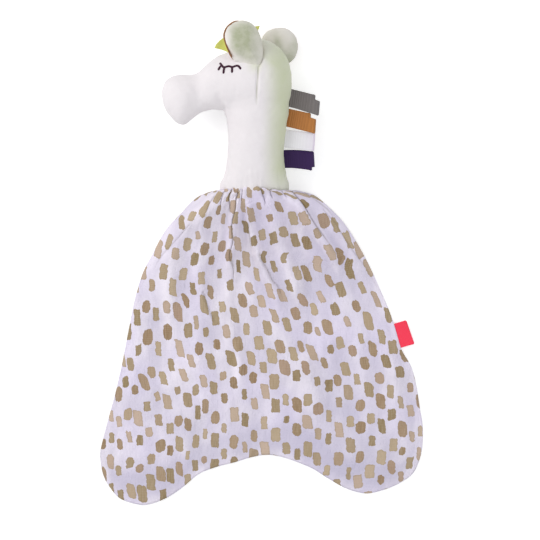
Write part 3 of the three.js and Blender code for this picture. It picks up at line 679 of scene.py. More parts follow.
# Pleats: a line in the plan, how far the cloth beside it stands up (above zero on its right going
# down, below zero on its left), depth of the crack, and how much cloth the pleat hides
PLEATS = [
    ([
        (-14.4, 48.5), (-16.5, 42), (-17, 36), (-19, 28), (-19.4, 22), (-19, 14), (-20.4, 8), (-20.6, 3),
        (-18.8, -3), (-18.6, -12), (-20, -20),
    ], 1.6, 1.9, 5.0),
    ([(-19.4, 48), (-21.3, 43), (-20.6, 37), (-20.8, 31)], 1.0, 1.4, 4.0),
    ([(-24.4, 47), (-26.6, 41), (-27, 35)], 0.9, 1.2, 3.0),
    ([(-8.6, 26), (-8, 20), (-6.8, 12), (-5.2, 7)], 0.8, 1.0, 2.5),
    ([(-1.6, 7), (-1, 3.5), (3.4, -4.6), (7, -12), (10.8, -16), (15, -27.5)], -1.0, 1.0, 3.0),
    ([
        (19.5, 47.5), (24, 42.5), (27.8, 37.5), (34.2, 26.8), (39.8, 19), (45.6, 11), (50, 4),
    ], -1.5, 1.6, 4.0),
    ([(28, 46.5), (36, 41), (43.4, 35), (49, 28)], -0.7, 0.8, 2.5),
    ([(-39.3, -18), (-38, -22), (-32.8, -35.6), (-26.7, -43)], -0.7, 0.7, 2.5),
    ([(-12.2, 48.5), (-13, 44), (-13.4, 38)], 0.7, 1.0, 2.5),
    ([(-1, 49), (0.4, 45), (2, 41), (2.6, 36)], -0.9, 1.2, 3.5),
    ([(5.2, 48.5), (6, 45), (8, 41.5)], -0.9, 1.4, 3.0),
    ([(12.4, 48.5), (15, 45), (18, 41)], -0.5, 0.8, 2.5),
    ([(-31, 44), (-35, 37), (-37, 29)], 0.7, 0.8, 2.5),
    ([
        (40, 36), (45.3, 29.8), (48.9, 25.9), (55.2, 15.7), (61.5, 6.5), (67, -0.4), (72.8, -9.4),
        (78.4, -19.4), (83.7, -30),
    ], 0.4, 0.6, 2.2),
    ([(-47, 26), (-53, 18.9), (-60, 11), (-67, 3), (-73, -8)], -0.35, 0.45, 1.8),
]
PLEAT_FADE = (0.02, 0.4)
PLEAT_RISE = 5  # the cloth beside a crack stands up over this distance,
PLEAT_EDGE = 0.35  # and turns down into the crack over this one
CRACK_WIDTH = 0.55
CRACK_SHADE_WIDTH = 0.4
FULL_SHADE_CRACK = 1.4  # a crack of this depth gets the darkest painted shade

# Unevenness of the lying cloth: size, seed and stretch down the cloth, and its height
BILLOWS = (24, 3.1, 2.4)
BILLOW_LIFT = 0.4
BILLOW_HEIGHT = 1.7
RUMPLES = (11, 7.7, 1.6)
RUMPLE_HEIGHT = 0.45
BACK_BILLOWS = (24, 9.3)
BACK_BILLOW_HEIGHT = 0.35
CALM_RIM = 14  # folds and billows die away over this distance from the rim,
RUMPLE_RIM = 5  # and rumples over this one
RESTS_ON_BACK = 2.1  # where the front panel sinks, it comes to rest on the back one at this height
RESTS_RIM = 7
REST_SOFTNESS = 0.6

# The tucks where the front panel goes into the neck seam: where each one ends, from -1 left to 1 right
TUCK_ENDS = [-1.0, -0.89, -0.7, -0.5, -0.36, -0.06, 0.15, 0.41, 0.72, 1.0]
TUCK_HEIGHT = 1.4
TUCK_REACH = 9
TUCK_RIM = 3
TUCK_WAVE = 1.9  # how much higher up the neck the middle of a tuck reaches
GAP_SHADE = 0.8  # painted shade between two tucks
GAP_REACH = 2.5
# How far the seam lies above or below its mean, from -1 left to 1 right, and the whole seam's drop
SEAM_WAVE = [(-1, -0.9), (-0.6, 0.1), (-0.2, 1.2), (0.12, 0.9), (0.4, -0.9), (0.7, -1.0), (1, -1.7)]
SEAM_DROP = -1.2
BACK_RISE = 0.9  # the back panel's seam lies higher
SEAM_SPREAD = 2.4  # these waves die away over this distance from the seam
SEAM_LIP = 0.7
EDGE_TUCK = 1.6  # how far the cloth's edge turns in at the seam, at its middle
SIDE_TUCK = 1.4  # and at its sides
EDGE_REACH = 0.7
LEVEL_SEAM = 4  # this near to the seam the rim isn't rounded

# Painted light and shade on the lying cloth: middle and half size in the plan, and how much
# deeper than it is the cloth looks there, in the hollows' painted shade
BROAD_SHADES = [
    ((58, -118), (36, 46), 0.75),
    ((4, -62), (14, 46), 0.4),
    ((44, -18), (17, 15), 0.55),
    ((-38, 6), (30, 30), -0.8),
    ((6, 18), (34, 26), -0.4),
    ((-70, -112), (26, 28), 0.35),
]


def tucks(side):
    """Roundness of the tucks: 0 between two of them, 1 in the middle of each one."""
    ends = np.array(TUCK_ENDS)
    number = np.clip(np.searchsorted(ends, side, side="right") - 1, 0, len(ends) - 2)
    place = (side - ends[number]) / (ends[number + 1] - ends[number])
    return np.sqrt(np.clip(np.sin(math.pi * np.clip(place, 0, 1)), 0, 1))


def tucked_in(panel):
    """The panel turns in towards the neck where it goes into the seam."""
    edge = np.exp(-panel.from_seam / EDGE_REACH)
    to_middle = (SEAM_MIDDLE[0] - panel.plan[..., 0]) / SEAM_HALF_WIDTH
    panel.plan[..., 0] += SIDE_TUCK * to_middle * edge * panel.side ** 2
    return EDGE_TUCK * edge * arch(panel.side)


def seam_wave(panel):
    """How far above its mean the neck seam lies at each point."""
    return SEAM_DROP + np.interp(panel.side, *zip(*SEAM_WAVE))


def broad_shades(panel):
    """How much painted light or shade lies on the cloth at each point, over the depth of its hollows."""
    shades = np.zeros(panel.shape)
    for (x, y), (half_x, half_y), amount in BROAD_SHADES:
        away = ((panel.plan[..., 0] - x) / half_x) ** 2 + ((panel.plan[..., 1] - y) / half_y) ** 2
        shades += amount * np.exp(-away)
    return shades


def rounded_rim(panel, height, rim_height):
    """The cloth runs into its rim in a quarter round."""
    rounding = np.clip(panel.from_rim / RIM_ROUND, 0, 1)
    rim = rim_height + panel.draft * (SEAM_MIDDLE[1] - RIM_HEIGHT)
    return mix(rim, height, np.sqrt(1 - (1 - rounding) ** 2))


def front_height(panel):
    """Height of the front panel with and without its folds, the cloth hidden left of each point, and
    the painted shade in the pleats' cracks."""
    section = SEAM_MIDDLE[1] + SEAM_HALF_DEPTH * arch(panel.side)
    loft = RIM_HEIGHT + AIR_BETWEEN * (1 - panel.side ** 8) * (1 - panel.down ** 10)
    base = mix(loft, section, panel.draft)
    height = base.copy()
    hidden = np.zeros(panel.shape)
    crack_shades = np.zeros(panel.shape)
    calm = smooth(panel.from_rim / CALM_RIM)
    for points, width, tall in SOFT_FOLDS:
        fold = Crease(panel, points, FOLD_FADE)
        height += FOLD_BOOST * fold.strength * tall * ridge(fold.signed, width) * calm
    for points, lap, depth, taken in PLEATS:
        pleat = Crease(panel, points, PLEAT_FADE)
        beside = np.where(pleat.signed * np.sign(lap) > 0, np.abs(pleat.signed), 1e9)
        stands_up = np.exp(-beside / PLEAT_RISE) * (1 - np.exp(-beside / PLEAT_EDGE))
        height += pleat.strength * (abs(lap) * stands_up - depth * ridge(pleat.signed, CRACK_WIDTH))
        hidden += pleat.hides(panel, taken)
        # painted shade in the crack, darker the deeper it is
        crack_shade = pleat.strength * min(1, depth / FULL_SHADE_CRACK) * ridge(pleat.signed, CRACK_SHADE_WIDTH)
        crack_shades = np.maximum(crack_shades, crack_shade)
    height += (panel.rough(*BILLOWS) + BILLOW_LIFT) * BILLOW_HEIGHT * calm
    height += panel.rough(*RUMPLES) * RUMPLE_HEIGHT * smooth(panel.from_rim / RUMPLE_RIM)
    at_seam = np.exp(-panel.from_seam / TUCK_REACH) * smooth(panel.from_rim / TUCK_RIM)
    height += TUCK_HEIGHT * (tucks(panel.side) - 0.5) * at_seam
    rests = mix(RIM_HEIGHT, RESTS_ON_BACK, smooth(panel.from_rim / RESTS_RIM))
    height = (height + rests + np.hypot(height - rests, REST_SOFTNESS)) / 2
    height = np.where(panel.from_seam > LEVEL_SEAM, rounded_rim(panel, height, RIM_HEIGHT), height)
    return height, base, hidden, crack_shades


def thickened(piece, thickness):
    """A sheet of cloth gets its thickness, half of it on each side."""
    add_modifier(piece, "SOLIDIFY", thickness=thickness * MM, offset=0)
    apply_modifiers(piece)
    return piece


muslin = Finish("printed_muslin")
front = Panel("blanket_front_panel", columns=240, rows=176)
height, base, hidden, crack_shades = front_height(front)
over_seam = ridge(front.from_seam, SEAM_SPREAD)
front.plan[..., 1] += (seam_wave(front) + TUCK_WAVE * tucks(front.side)) * over_seam
# painted shade between the tucks, added to the cracks' painted shade
gap_shades = GAP_SHADE * (1 - tucks(front.side)) ** 2 * np.exp(-front.from_seam / GAP_REACH)
crack_shades = np.maximum(crack_shades, gap_shades)
height += SEAM_LIP * over_seam - tucked_in(front)
front_mesh = front.mesh(height, base, hidden, crack_shades, broad_shades(front))
front_panel = thickened(finished("blanket_front_panel", front_mesh, muslin.material), CLOTH)

back = Panel("blanket_back_panel", columns=150, rows=120)
below = SEAM_MIDDLE[1] - SEAM_HALF_DEPTH * arch(back.side)
ground = CLOTH / 2 + 0.15 + BACK_BILLOW_HEIGHT * (back.rough(*BACK_BILLOWS) + 1)
height = mix(ground, np.maximum(below, CLOTH), back.draft)
height = rounded_rim(back, height, BACK_RIM_HEIGHT)
back_wave = mix(BACK_RISE, seam_wave(back), np.abs(back.side) ** 8)
back.plan[..., 1] += back_wave * ridge(back.from_seam, SEAM_SPREAD)
height += tucked_in(back)
back_panel = thickened(finished("blanket_back_panel", back.mesh(height, height), muslin.material), CLOTH)

DAB_PITCH = (7.2, 17.4)  # the dabs stand in columns, a dab in every cell of this size
COLUMN_STAGGER = 0.47  # each column starts this share of a cell higher, give or take the jitter
COLUMN_JITTER = 0.3
DAB_HALF_WIDTH = (1.75, 3.3)  # of a small and of a large dab,
DAB_HALF_HEIGHT = (3.0, 4.6)
DAB_WIDER = (-0.3, 0.4)  # and what each one is wider or taller than that
DAB_TALLER = (-0.6, 0.9)
DAB_SHIFT = (0.5, 2.2)  # off the middle of its cell, at most
DAB_LEAN = (-0.1, 0.14)
DAB_SLANT = 0.24
DAB_CORNER = (0.2, 0.95)  # its roundness, as a share of its half width
EDGE_WOBBLE = (2.2, 2.0)  # how far a dab's edge strays, and how ragged its two ends are
EDGE_BRISTLE = 1.2
PRINT_LEAN = 0.11  # the print leans to the right going down,
SHOULDER_LEAN = 0.26  # and more so over the right shoulder, where the grain turns outwards
WANDER = (3 * MM, 5 * MM, 0)  # how far the columns stray
HOLLOW_SHADE = 0.55
GROUND_WHITE = linear(243, 236, 246)
GROUND_GREY = linear(216, 209, 223)
GROUND_LILAC = linear(223, 213, 244)
# painted shade in the cloth's hollows and broad shaded places
GROUND_PAINTED_SHADE = linear(196, 190, 212)
# painted shade in the pleats' cracks and between the tucks
CRACK_PAINTED_SHADE = linear(140, 126, 98)
THREAD_WHITE = linear(255, 252, 255)
TAN = linear(190, 170, 141)
OLIVE_TAN = linear(140, 119, 79)
ROSY_TAN = linear(204, 180, 164)
BROWN_TAN = linear(146, 112, 82)
INK_RIM = linear(138, 116, 78)
DRY_INK = linear(196, 176, 154)


def spread(value, low, high):
    """A roll of the dice, from 0 to 1, as a value between two others."""
    return muslin.math("MULTIPLY_ADD", value, high - low, low)


def roll_for_cell(seed):
    """Three rolls of the dice for each cell of the print."""
    cell = muslin.add("CombineXYZ", X=column_number, Y=row_number, Z=seed)
    return muslin.add("SeparateColor", Color=muslin.add("TexWhiteNoise", Vector=cell).outputs["Color"])


cloth_uv = muslin.add("UVMap", {"uv_map": "cloth"}).outputs["UV"]
wander = muslin.noise(cloth_uv, 28, 1).outputs["Color"]
wandered = muslin.add("VectorMath", {"operation": "MULTIPLY_ADD"}, i0=wander, i1=WANDER, i2=cloth_uv)
flat_place = muslin.add("SeparateXYZ", Vector=wandered)
across_grain = muslin.math("MULTIPLY_ADD", flat_place.outputs["Y"], PRINT_LEAN, flat_place.outputs["X"])
column = muslin.math("DIVIDE", across_grain, DAB_PITCH[0] * MM)
column_number = muslin.math("FLOOR", column)
in_column = muslin.math("SUBTRACT", muslin.math("FRACT", column), 0.5)
column_roll = muslin.add("TexWhiteNoise", {"noise_dimensions": "1D"}, W=column_number).outputs["Value"]
stagger = muslin.math("MULTIPLY", column_number, COLUMN_STAGGER)
row = muslin.math("DIVIDE", flat_place.outputs["Y"], DAB_PITCH[1] * MM)
jitter = muslin.math("MULTIPLY", column_roll, COLUMN_JITTER)
row = muslin.math("ADD", muslin.math("ADD", row, stagger), jitter)
row_number = muslin.math("FLOOR", row)
in_row = muslin.math("SUBTRACT", muslin.math("FRACT", row), 0.5)
dice = roll_for_cell(4.0)
more_dice = roll_for_cell(11.0)

size_roll = dice.outputs["Blue"]
width_roll, height_roll, lean_roll = (more_dice.outputs[channel] for channel in ("Red", "Green", "Blue"))
half_width = muslin.math("ADD", spread(size_roll, *DAB_HALF_WIDTH), spread(width_roll, *DAB_WIDER))
half_height = muslin.math("ADD", spread(size_roll, *DAB_HALF_HEIGHT), spread(height_roll, *DAB_TALLER))
x_shift = spread(dice.outputs["Red"], -DAB_SHIFT[0], DAB_SHIFT[0])
y_shift = spread(dice.outputs["Green"], -DAB_SHIFT[1], DAB_SHIFT[1])
x = muslin.math("SUBTRACT", muslin.math("MULTIPLY", in_column, DAB_PITCH[0]), x_shift)
y = muslin.math("SUBTRACT", muslin.math("MULTIPLY", in_row, DAB_PITCH[1]), y_shift)
shoulder = muslin.ramp(flat_place.outputs["X"], 0, 45 * MM, 0.0, SHOULDER_LEAN)
above_lobes = muslin.ramp(flat_place.outputs["Y"], -115 * MM, -60 * MM)
shoulder = muslin.math("MULTIPLY", shoulder, above_lobes)
lean = muslin.math("ADD", spread(lean_roll, *DAB_LEAN), shoulder)
x = muslin.math("MULTIPLY_ADD", y, lean, x)
y = muslin.math("MULTIPLY_ADD", x, spread(height_roll, -DAB_SLANT, DAB_SLANT), y)
wobble = muslin.add("SeparateColor", Color=muslin.noise(cloth_uv, 420, 2).outputs["Color"])
wobble_x = spread(wobble.outputs["Red"], -EDGE_WOBBLE[0] / 2, EDGE_WOBBLE[0] / 2)
wobble_y = spread(wobble.outputs["Green"], -EDGE_WOBBLE[1] / 2, EDGE_WOBBLE[1] / 2)
x, y = muslin.math("ADD", x, wobble_x), muslin.math("ADD", y, wobble_y)
corner = muslin.math("MULTIPLY", half_width, spread(width_roll, *DAB_CORNER))
x_over = muslin.math("ADD", muslin.math("SUBTRACT", muslin.math("ABSOLUTE", x), half_width), corner)
y_over = muslin.math("ADD", muslin.math("SUBTRACT", muslin.math("ABSOLUTE", y), half_height), corner)
bristle = muslin.noise(muslin.stretched(cloth_uv, (900, 60, 1)), 1, 2)
y_over = muslin.math("ADD", y_over, spread(bristle.outputs["Fac"], -EDGE_BRISTLE / 2, EDGE_BRISTLE / 2))
x_past, y_past = (muslin.math("MAXIMUM", over, 0.0) for over in (x_over, y_over))
outside = muslin.add("CombineXYZ", X=x_past, Y=y_past)
outside = muslin.add("VectorMath", {"operation": "LENGTH"}, i0=outside).outputs["Value"]
inside = muslin.math("MINIMUM", muslin.math("MAXIMUM", x_over, y_over), 0.0)
beyond_edge = muslin.math("SUBTRACT", muslin.math("ADD", outside, inside), corner)
dab = muslin.ramp(beyond_edge, -0.12, 0.14, 1.0, 0.0)

streaks = muslin.noise(muslin.stretched(cloth_uv, (1500, 130, 1)), 1, 3, 0.6)
ink = muslin.mix(dice.outputs["Green"], TAN, OLIVE_TAN)
ink = muslin.mix(muslin.ramp(lean_roll, 0.5, 0.9, 0.0, 0.75), ink, ROSY_TAN)
ink = muslin.mix(muslin.ramp(width_roll, 0.6, 0.9, 0.0, 0.55), ink, BROWN_TAN)
ink = muslin.mix(muslin.ramp(beyond_edge, -0.9, -0.1, 0.0, 0.4), ink, INK_RIM)
ink = muslin.mix(muslin.ramp(streaks.outputs["Fac"], 0.35, 0.7, 0.0, 0.35), ink, DRY_INK)

clouds = muslin.noise(muslin.stretched(cloth_uv, (70, 34, 1)), 1, 3, 0.55)
ground_tone = muslin.mix(muslin.ramp(clouds.outputs["Fac"], 0.3, 0.7), GROUND_WHITE, GROUND_GREY)
lilac = muslin.ramp(muslin.noise(cloth_uv, 26, 2).outputs["Fac"], 0.35, 0.7, 0.0, 0.45)
ground_tone = muslin.mix(lilac, ground_tone, GROUND_LILAC)
# painted shade in the hollows, with the broad painted light and shade
painted_hollow_shade = muslin.math("MULTIPLY", muslin.attribute("painted_hollow_shade"), HOLLOW_SHADE)
ground_tone = muslin.mix(painted_hollow_shade, ground_tone, GROUND_PAINTED_SHADE)

warp = muslin.bands("X", cloth_uv, 310.0, 0.6)
weft = muslin.bands("Y", cloth_uv, 290.0, 0.6)
weave = muslin.math("MULTIPLY", warp, weft)
slub = muslin.noise(cloth_uv, 900, 2)
cloth_colour = muslin.mix(dab, ground_tone, ink)
cloth_colour = muslin.mix(muslin.math("MULTIPLY", weave, 0.1), cloth_colour, THREAD_WHITE)
# painted shade in the pleats' cracks and between the tucks
painted_crack_shade = muslin.math("MULTIPLY", muslin.attribute("painted_crack_shade"), 0.6)
cloth_colour = muslin.mix(painted_crack_shade, cloth_colour, CRACK_PAINTED_SHADE)
crinkle = muslin.noise(muslin.stretched(cloth_uv, (190, 90, 1)), 1, 3, 0.6)
cloth_bump = muslin.bump(crinkle.outputs["Fac"], 1.6 * MM, 0.75)
threads = muslin.math("ADD", weave, slub.outputs["Fac"])
cloth_bump = muslin.bump(threads, 0.25 * MM, 0.5, under=cloth_bump)
muslin.surface(cloth_colour, cloth_bump, roughness=0.95, sheen=0.15)

for panel_piece, node in ((front_panel, "blanket_front"), (back_panel, "blanket_back")):
    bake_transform(panel_piece)
    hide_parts(node)


# ---------------------------------------------------------------------------------------------
# Eyes: a closed lid with three lashes on each side of the head, satin stitch of dark aubergine
# thread, worked through the velour before the cover was sewn up.

THREAD_HALF_WIDTH = 0.74 * MM
THREAD_HALF_HEIGHT = 0.45 * MM
THREAD_LIFT = 0.12 * MM  # its middle lies this far above the velour
THREAD_SIDES = 14
STITCH_PITCH = 0.32 * MM
LID_POINTS = 90
LASH_POINTS = 30
LID = [  # in the picture plane, in millimetres, as the lashes are
    (-27.5, 131.9), (-26.5, 130.5), (-24.8, 128.9), (-21.6, 129.6), (-19.3, 129.0), (-16.3, 129.9),
    (-14.7, 129.2), (-13.6, 127.4),
]
LASHES = [
    [(-26.4, 130.1), (-27.7, 128.6), (-28.6, 126.8)],
    [(-24.6, 128.9), (-24.9, 126.8), (-25.2, 124.6)],
    [(-19.4, 129.0), (-19.4, 127.0), (-19.5, 125.1)],
]
RAY_START = 100 * MM  # rays towards the toy start this far above or below it


def surface_of(piece):
    """The piece's faces, for finding where a ray meets them."""
    tree = bmesh.new()
    tree.from_mesh(piece.data)
    found = BVHTree.FromBMesh(tree)
    tree.free()
    return found


def thread_tube(bm, run_layer, places, normals):
    """A raised line of stitches on a surface: a grid rolled into a tube, drawn in at both ends."""
    rows = len(places) - 1
    made = bmesh.ops.create_grid(bm, x_segments=THREAD_SIDES, y_segments=rows, size=1)["verts"]
    steps = [0.0]
    for start, end in zip(places, places[1:]):
        steps.append(steps[-1] + (end - start).length)
    for vert in made:
        turn, row = math.pi * (vert.co.x + 1), round((vert.co.y + 1) / 2 * rows)
        ahead = (places[min(row + 1, rows)] - places[max(row - 1, 0)]).normalized()
        up = (normals[row] - ahead * normals[row].dot(ahead)).normalized()
        side = ahead.cross(up)
        end_gap = min(steps[row], steps[-1] - steps[row])
        full = math.sqrt(min(1, end_gap / THREAD_HALF_WIDTH)) if end_gap > 0 else 0
        vert[run_layer] = steps[row] / MM
        offset = side * math.cos(turn) * THREAD_HALF_WIDTH + up * math.sin(turn) * THREAD_HALF_HEIGHT
        vert.co = places[row] + offset * full
    bmesh.ops.remove_doubles(bm, verts=made, dist=0.004 * MM)


def embroidered_eye(name, node, from_above):
    skin = surface_of(cover)
    way = -1 if from_above else 1
    bm = bmesh.new()
    run_layer = bm.verts.layers.float.new("run")
    for stroke, count in ((LID, LID_POINTS), *((lash, LASH_POINTS) for lash in LASHES)):
        places, normals = [], []
        for x, y in spline(stroke, count):
            start = Vector((x * MM, y * MM, -way * RAY_START))
            place, normal, _, _ = skin.ray_cast(start, Vector((0, 0, way)))
            places.append(place + normal * THREAD_LIFT)
            normals.append(normal)
        for _ in range(4):
            between = [(a + b * 2 + c) / 4 for a, b, c in zip(places, places[1:], places[2:])]
            places = [places[0], *between, places[-1]]
        thread_tube(bm, run_layer, places, normals)
    bmesh.ops.recalc_face_normals(bm, faces=bm.faces)
    eye = finished(name, as_mesh(name, bm), eye_thread.material)
    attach(eye, "head_and_neck")
    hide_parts(node)


eye_thread = Finish("aubergine_thread")
stray = eye_thread.noise(eye_thread.here(), 900, 2)
stitch = eye_thread.math("MULTIPLY", eye_thread.attribute("run"), 2 * math.pi * MM / STITCH_PITCH)
stitch = eye_thread.math("MULTIPLY_ADD", stray.outputs["Fac"], 2.5, stitch)
stitch = eye_thread.math("MULTIPLY_ADD", eye_thread.math("SINE", stitch), 0.5, 0.5)
thread_colour = eye_thread.mix(stitch, linear(46, 10, 34), linear(84, 34, 62))
thread_bump = eye_thread.bump(stitch, 0.2 * MM, 0.9)
eye_thread.surface(thread_colour, thread_bump, roughness=0.6, sheen=0.05)
embroidered_eye("near_eye_stitches", "near_eye", from_above=True)
embroidered_eye("far_eye_stitches", "far_eye", from_above=False)


# ---------------------------------------------------------------------------------------------
# Ears: a velour back and a woven brown lining, sewn together round the edge, turned, thinly padded
# and sewn into the dart. The near one's lining peeps out along its front edge.

EAR_VOXEL = 0.75 * MM
EAR_PUFF_CAP = 0.8 * MM
EAR_PRESSURE = 4
EAR_LOFT = 3.4  # an ear's own sizes are in millimetres
NEAR_BELLY = 1.2
FAR_BELLY = 1.0
EDGE_HOLD = 1.2
FOOT_HOLD = 2
RIM_STEPS = 160
EAR_RINGS = 20
HUG_DEPTH = 3.2 * MM  # how far an ear's padding gives way to follow the head under it,
HUG_FOOT = 10  # this far up from its foot,
HUG_DART = 9  # and this far from the dart in its lower part
FOOT_SINK = 1.3 * MM
SINK_REACH = 5.5
FOOT_PUCKER = 0.14
PUCKER_COUNT = 12  # in a whole turn about the foot
PUCKER_LENGTH = 8
LUMP_SCALE = 150
LUMP_HEIGHT = 0.6
PUCKERS_RIM = 3  # puckers and lumps die away over this distance from the rim
PILE_LUMP_SCALE = 420
PILE_LUMP_HEIGHT = 0.12
# The ears' edges from the foot up the front side and round
NEAR_EAR = [
    (-3.0, 2.6), (-8.4, 5.6), (-10.4, 12.3), (-11.8, 19.3), (-11.7, 23.5), (-9.2, 27.8), (-4.7, 30.5),
    (0.5, 31.4), (4.9, 30.1), (8.5, 27.2), (11.1, 22.6), (12.2, 17.4), (12.4, 11.3), (11.5, 5.3),
    (9.0, 0.4), (6.4, -1.4), (2.4, -0.4),
]
FAR_EAR = [
    (-8.4, 9.0), (-12.3, 13.0), (-14.0, 17.2), (-13.7, 20.6), (-11.7, 24.4), (-7.2, 28.5), (-1.6, 30.6),
    (4.8, 29.2), (9.9, 24.5), (12.1, 18.0), (11.4, 12.2), (7.8, 8.6), (0.0, 7.6),
]
# A point of the line along which each ear is sewn on, and the way up from that line
NEAR_FOOT = ((-8.6, 6.8), (0.461, 0.887))
FAR_FOOT = ((0, 9), (0, 1))


def sewn_frame(origin, x_axis, y_axis):
    """Matrix from a sewn-on piece's own frame, in millimetres, to the toy's, in metres."""
    x_axis = Vector(x_axis).normalized()
    z_axis = x_axis.cross(Vector(y_axis)).normalized()
    basis = Matrix((x_axis, z_axis.cross(x_axis), z_axis)).transposed().to_4x4()
    return Matrix.Translation(Vector(origin) * MM) @ basis @ Matrix.Scale(MM, 4)


def leaf_pad(name, edge, top, bottom, place):
    """A closed leaf: its rim is the edge, and top and bottom give its height at a share of the way in."""
    rim = spline([*edge, edge[0]], RIM_STEPS + 1)[:-1]
    middle = rim.mean(axis=0)
    bm = bmesh.new()
    made = bmesh.ops.create_grid(bm, x_segments=RIM_STEPS, y_segments=2 * EAR_RINGS, size=1)["verts"]
    for vert in made:
        side = round((vert.co.x + 1) / 2 * RIM_STEPS) % RIM_STEPS
        inset = abs(vert.co.y)
        u, v = mix(rim[side], middle, inset)
        vert.co = place @ Vector((u, v, top(inset) if vert.co.y > 0 else bottom(inset)))
    bmesh.ops.remove_doubles(bm, verts=bm.verts, dist=0.01 * MM)
    bmesh.ops.recalc_face_normals(bm, faces=bm.faces)
    return as_mesh(name, bm), rim


def rim_gap(rim, u, v):
    return float(np.hypot(rim[:, 0] - u, rim[:, 1] - v).min())


def puffed_ear(name, edge, place, belly):
    """An ear's velour back with its filling, blown up with its edge held."""
    mesh, rim = leaf_pad(
        name, edge,
        lambda inset: 0.5 + EAR_LOFT * math.sqrt(1 - (1 - inset) ** 2),
        lambda inset: -belly * math.sqrt(1 - (1 - inset) ** 2),
        place,
    )
    ear = finished(name, mesh, ear_velour.material)
    add_modifier(ear, "REMESH", mode="VOXEL", voxel_size=EAR_VOXEL)
    add_modifier(ear, "SMOOTH", factor=0.5, iterations=6)
    apply_modifiers(ear)
    own = place.inverted()

    def edge_hold(point):
        u, v, _ = own @ point
        return max(hump(rim_gap(rim, u, v), EDGE_HOLD), 1 if v < edge[0][1] + FOOT_HOLD else 0)

    blow_up(ear, edge_hold, EAR_PRESSURE, EAR_PUFF_CAP)
    add_modifier(ear, "SUBSURF", levels=1, render_levels=1)
    apply_modifiers(ear)
    return ear, rim


ear_velour = Finish("ear_velour")
near_place = sewn_frame((-9.203, 129.12, 42.454), (0.986, 0.165, 0), (-0.165, 0.984, -0.07))
far_place = sewn_frame((3.501, 127.901, 5.4), (0.857, -0.515, 0), (0.511, 0.851, 0.122))
near_ear, near_rim = puffed_ear("near_ear_velour", NEAR_EAR, near_place, NEAR_BELLY)
far_ear, far_rim = puffed_ear("far_ear_velour", FAR_EAR, far_place, FAR_BELLY)
skin = surface_of(cover)


def hugged(ear_point, v, w, above, gap, belly):
    """How far down a point of the ear goes, so that the ear lies on the head at its foot and dart."""
    near_dart = distance_to_path(ear_point, dart_path) / MM
    hug = max(1 - rise(above / HUG_FOOT), (1 - rise(near_dart / HUG_DART)) * (1 - rise((v - 8) / 12)))
    head_top = skin.ray_cast(Vector((*ear_point.xy, RAY_START)), Vector((0, 0, -1)))[0]
    drop = 1.0
    if head_top is not None:
        drop = ear_point.z - head_top.z + (0.2 - 0.9 * rise(gap / 11) * max(w + belly, 0)) * MM
    return hug * (HUG_DEPTH * math.tanh(drop / HUG_DEPTH) if drop > 0 else drop)


def settle(ear, place, rim, foot, shade_of, belly=None):
    """Puckers an ear at its foot, sinks it into the head where it is sewn on, and marks where sage shade is
    painted on it.
    """
    own = place.inverted()
    (foot_u, foot_v), (up_u, up_v) = foot
    sage_shade = ear.data.attributes.new("sage_shade", "FLOAT", "POINT")
    normals = [vert.normal.copy() for vert in ear.data.vertices]
    for vert, normal in zip(ear.data.vertices, normals):
        u, v, w = own @ vert.co
        gap = rim_gap(rim, u, v)
        above = (u - foot_u) * up_u + (v - foot_v) * up_v
        turn = math.atan2(u * up_v - v * up_u, above + PUCKER_LENGTH)
        pucker = FOOT_PUCKER * math.cos(turn * PUCKER_COUNT + 1) * hump(max(above, 0), PUCKER_LENGTH)
        lump = noise.noise(vert.co * LUMP_SCALE) * LUMP_HEIGHT
        pile_lump = noise.noise(vert.co * PILE_LUMP_SCALE) * PILE_LUMP_HEIGHT
        vert.co += normal * ((pucker + lump) * rise(gap / PUCKERS_RIM) + pile_lump) * MM
        if belly is not None:
            vert.co.z -= hugged(vert.co, v, w, above, gap, belly)
            vert.co.z -= FOOT_SINK * (1 - rise((above + 0.5) / SINK_REACH))
        sage_shade.data[vert.index].value = shade_of(u, v, above)
        vert.co.z = max(vert.co.z, 0.2 * MM)


def near_shade(u, v, above):
    """Painted sage shade of the near ear: least along its front edge and at its foot, less at its tip and
    rear.
    """
    from_front = rise((u + 12.6 - 0.1 * (v - 12)) / 8)
    from_foot = rise((1.2 * above + 0.55 * (u + 6)) / 7) * (0.55 + 0.45 * rise(above / 6))
    to_tip, to_rear, to_middle = rise((v - 25) / 6), rise((u - 2) / 9), rise((v - 7) / 10)
    paler = (1 - 0.6 * to_tip) * (1 - 0.48 * to_rear) * (0.76 + 0.24 * to_middle)
    return from_front * paler * (0.12 + 0.88 * from_foot)


def far_shade(u, v, above):
    """Painted sage shade of the far ear: most along the head, down the gather in its middle and at its
    rear.
    """
    along_head = 1 - rise((above - 1) / 9)
    down_gather, beside_gather = 0.8 * (u + 2.5) - 0.6 * (v - 19.5), 0.6 * (u + 2.5) + 0.8 * (v - 19.5)
    at_gather = math.exp(-((down_gather / 6.5) ** 2 + (beside_gather / 2.6) ** 2))
    return 0.2 + 0.3 * along_head + 0.5 * at_gather + 0.33 * rise((u - 2) / 6)


settle(near_ear, near_place, near_rim, NEAR_FOOT, near_shade, belly=NEAR_BELLY)
settle(far_ear, far_place, far_rim, FAR_FOOT, far_shade)

EAR_IVORY = linear(236, 231, 226)
# painted shade: the ear velour's colour on its shaded parts
EAR_SAGE_SHADE = linear(173, 177, 150)
EAR_TUFT_SCALE = 800
here = ear_velour.here()
mottle = ear_velour.ramp(ear_velour.noise(here, 260, 3, 0.6).outputs["Fac"], 0.32, 0.72)
mottle = ear_velour.math("MULTIPLY_ADD", mottle, 0.25, 0.85)
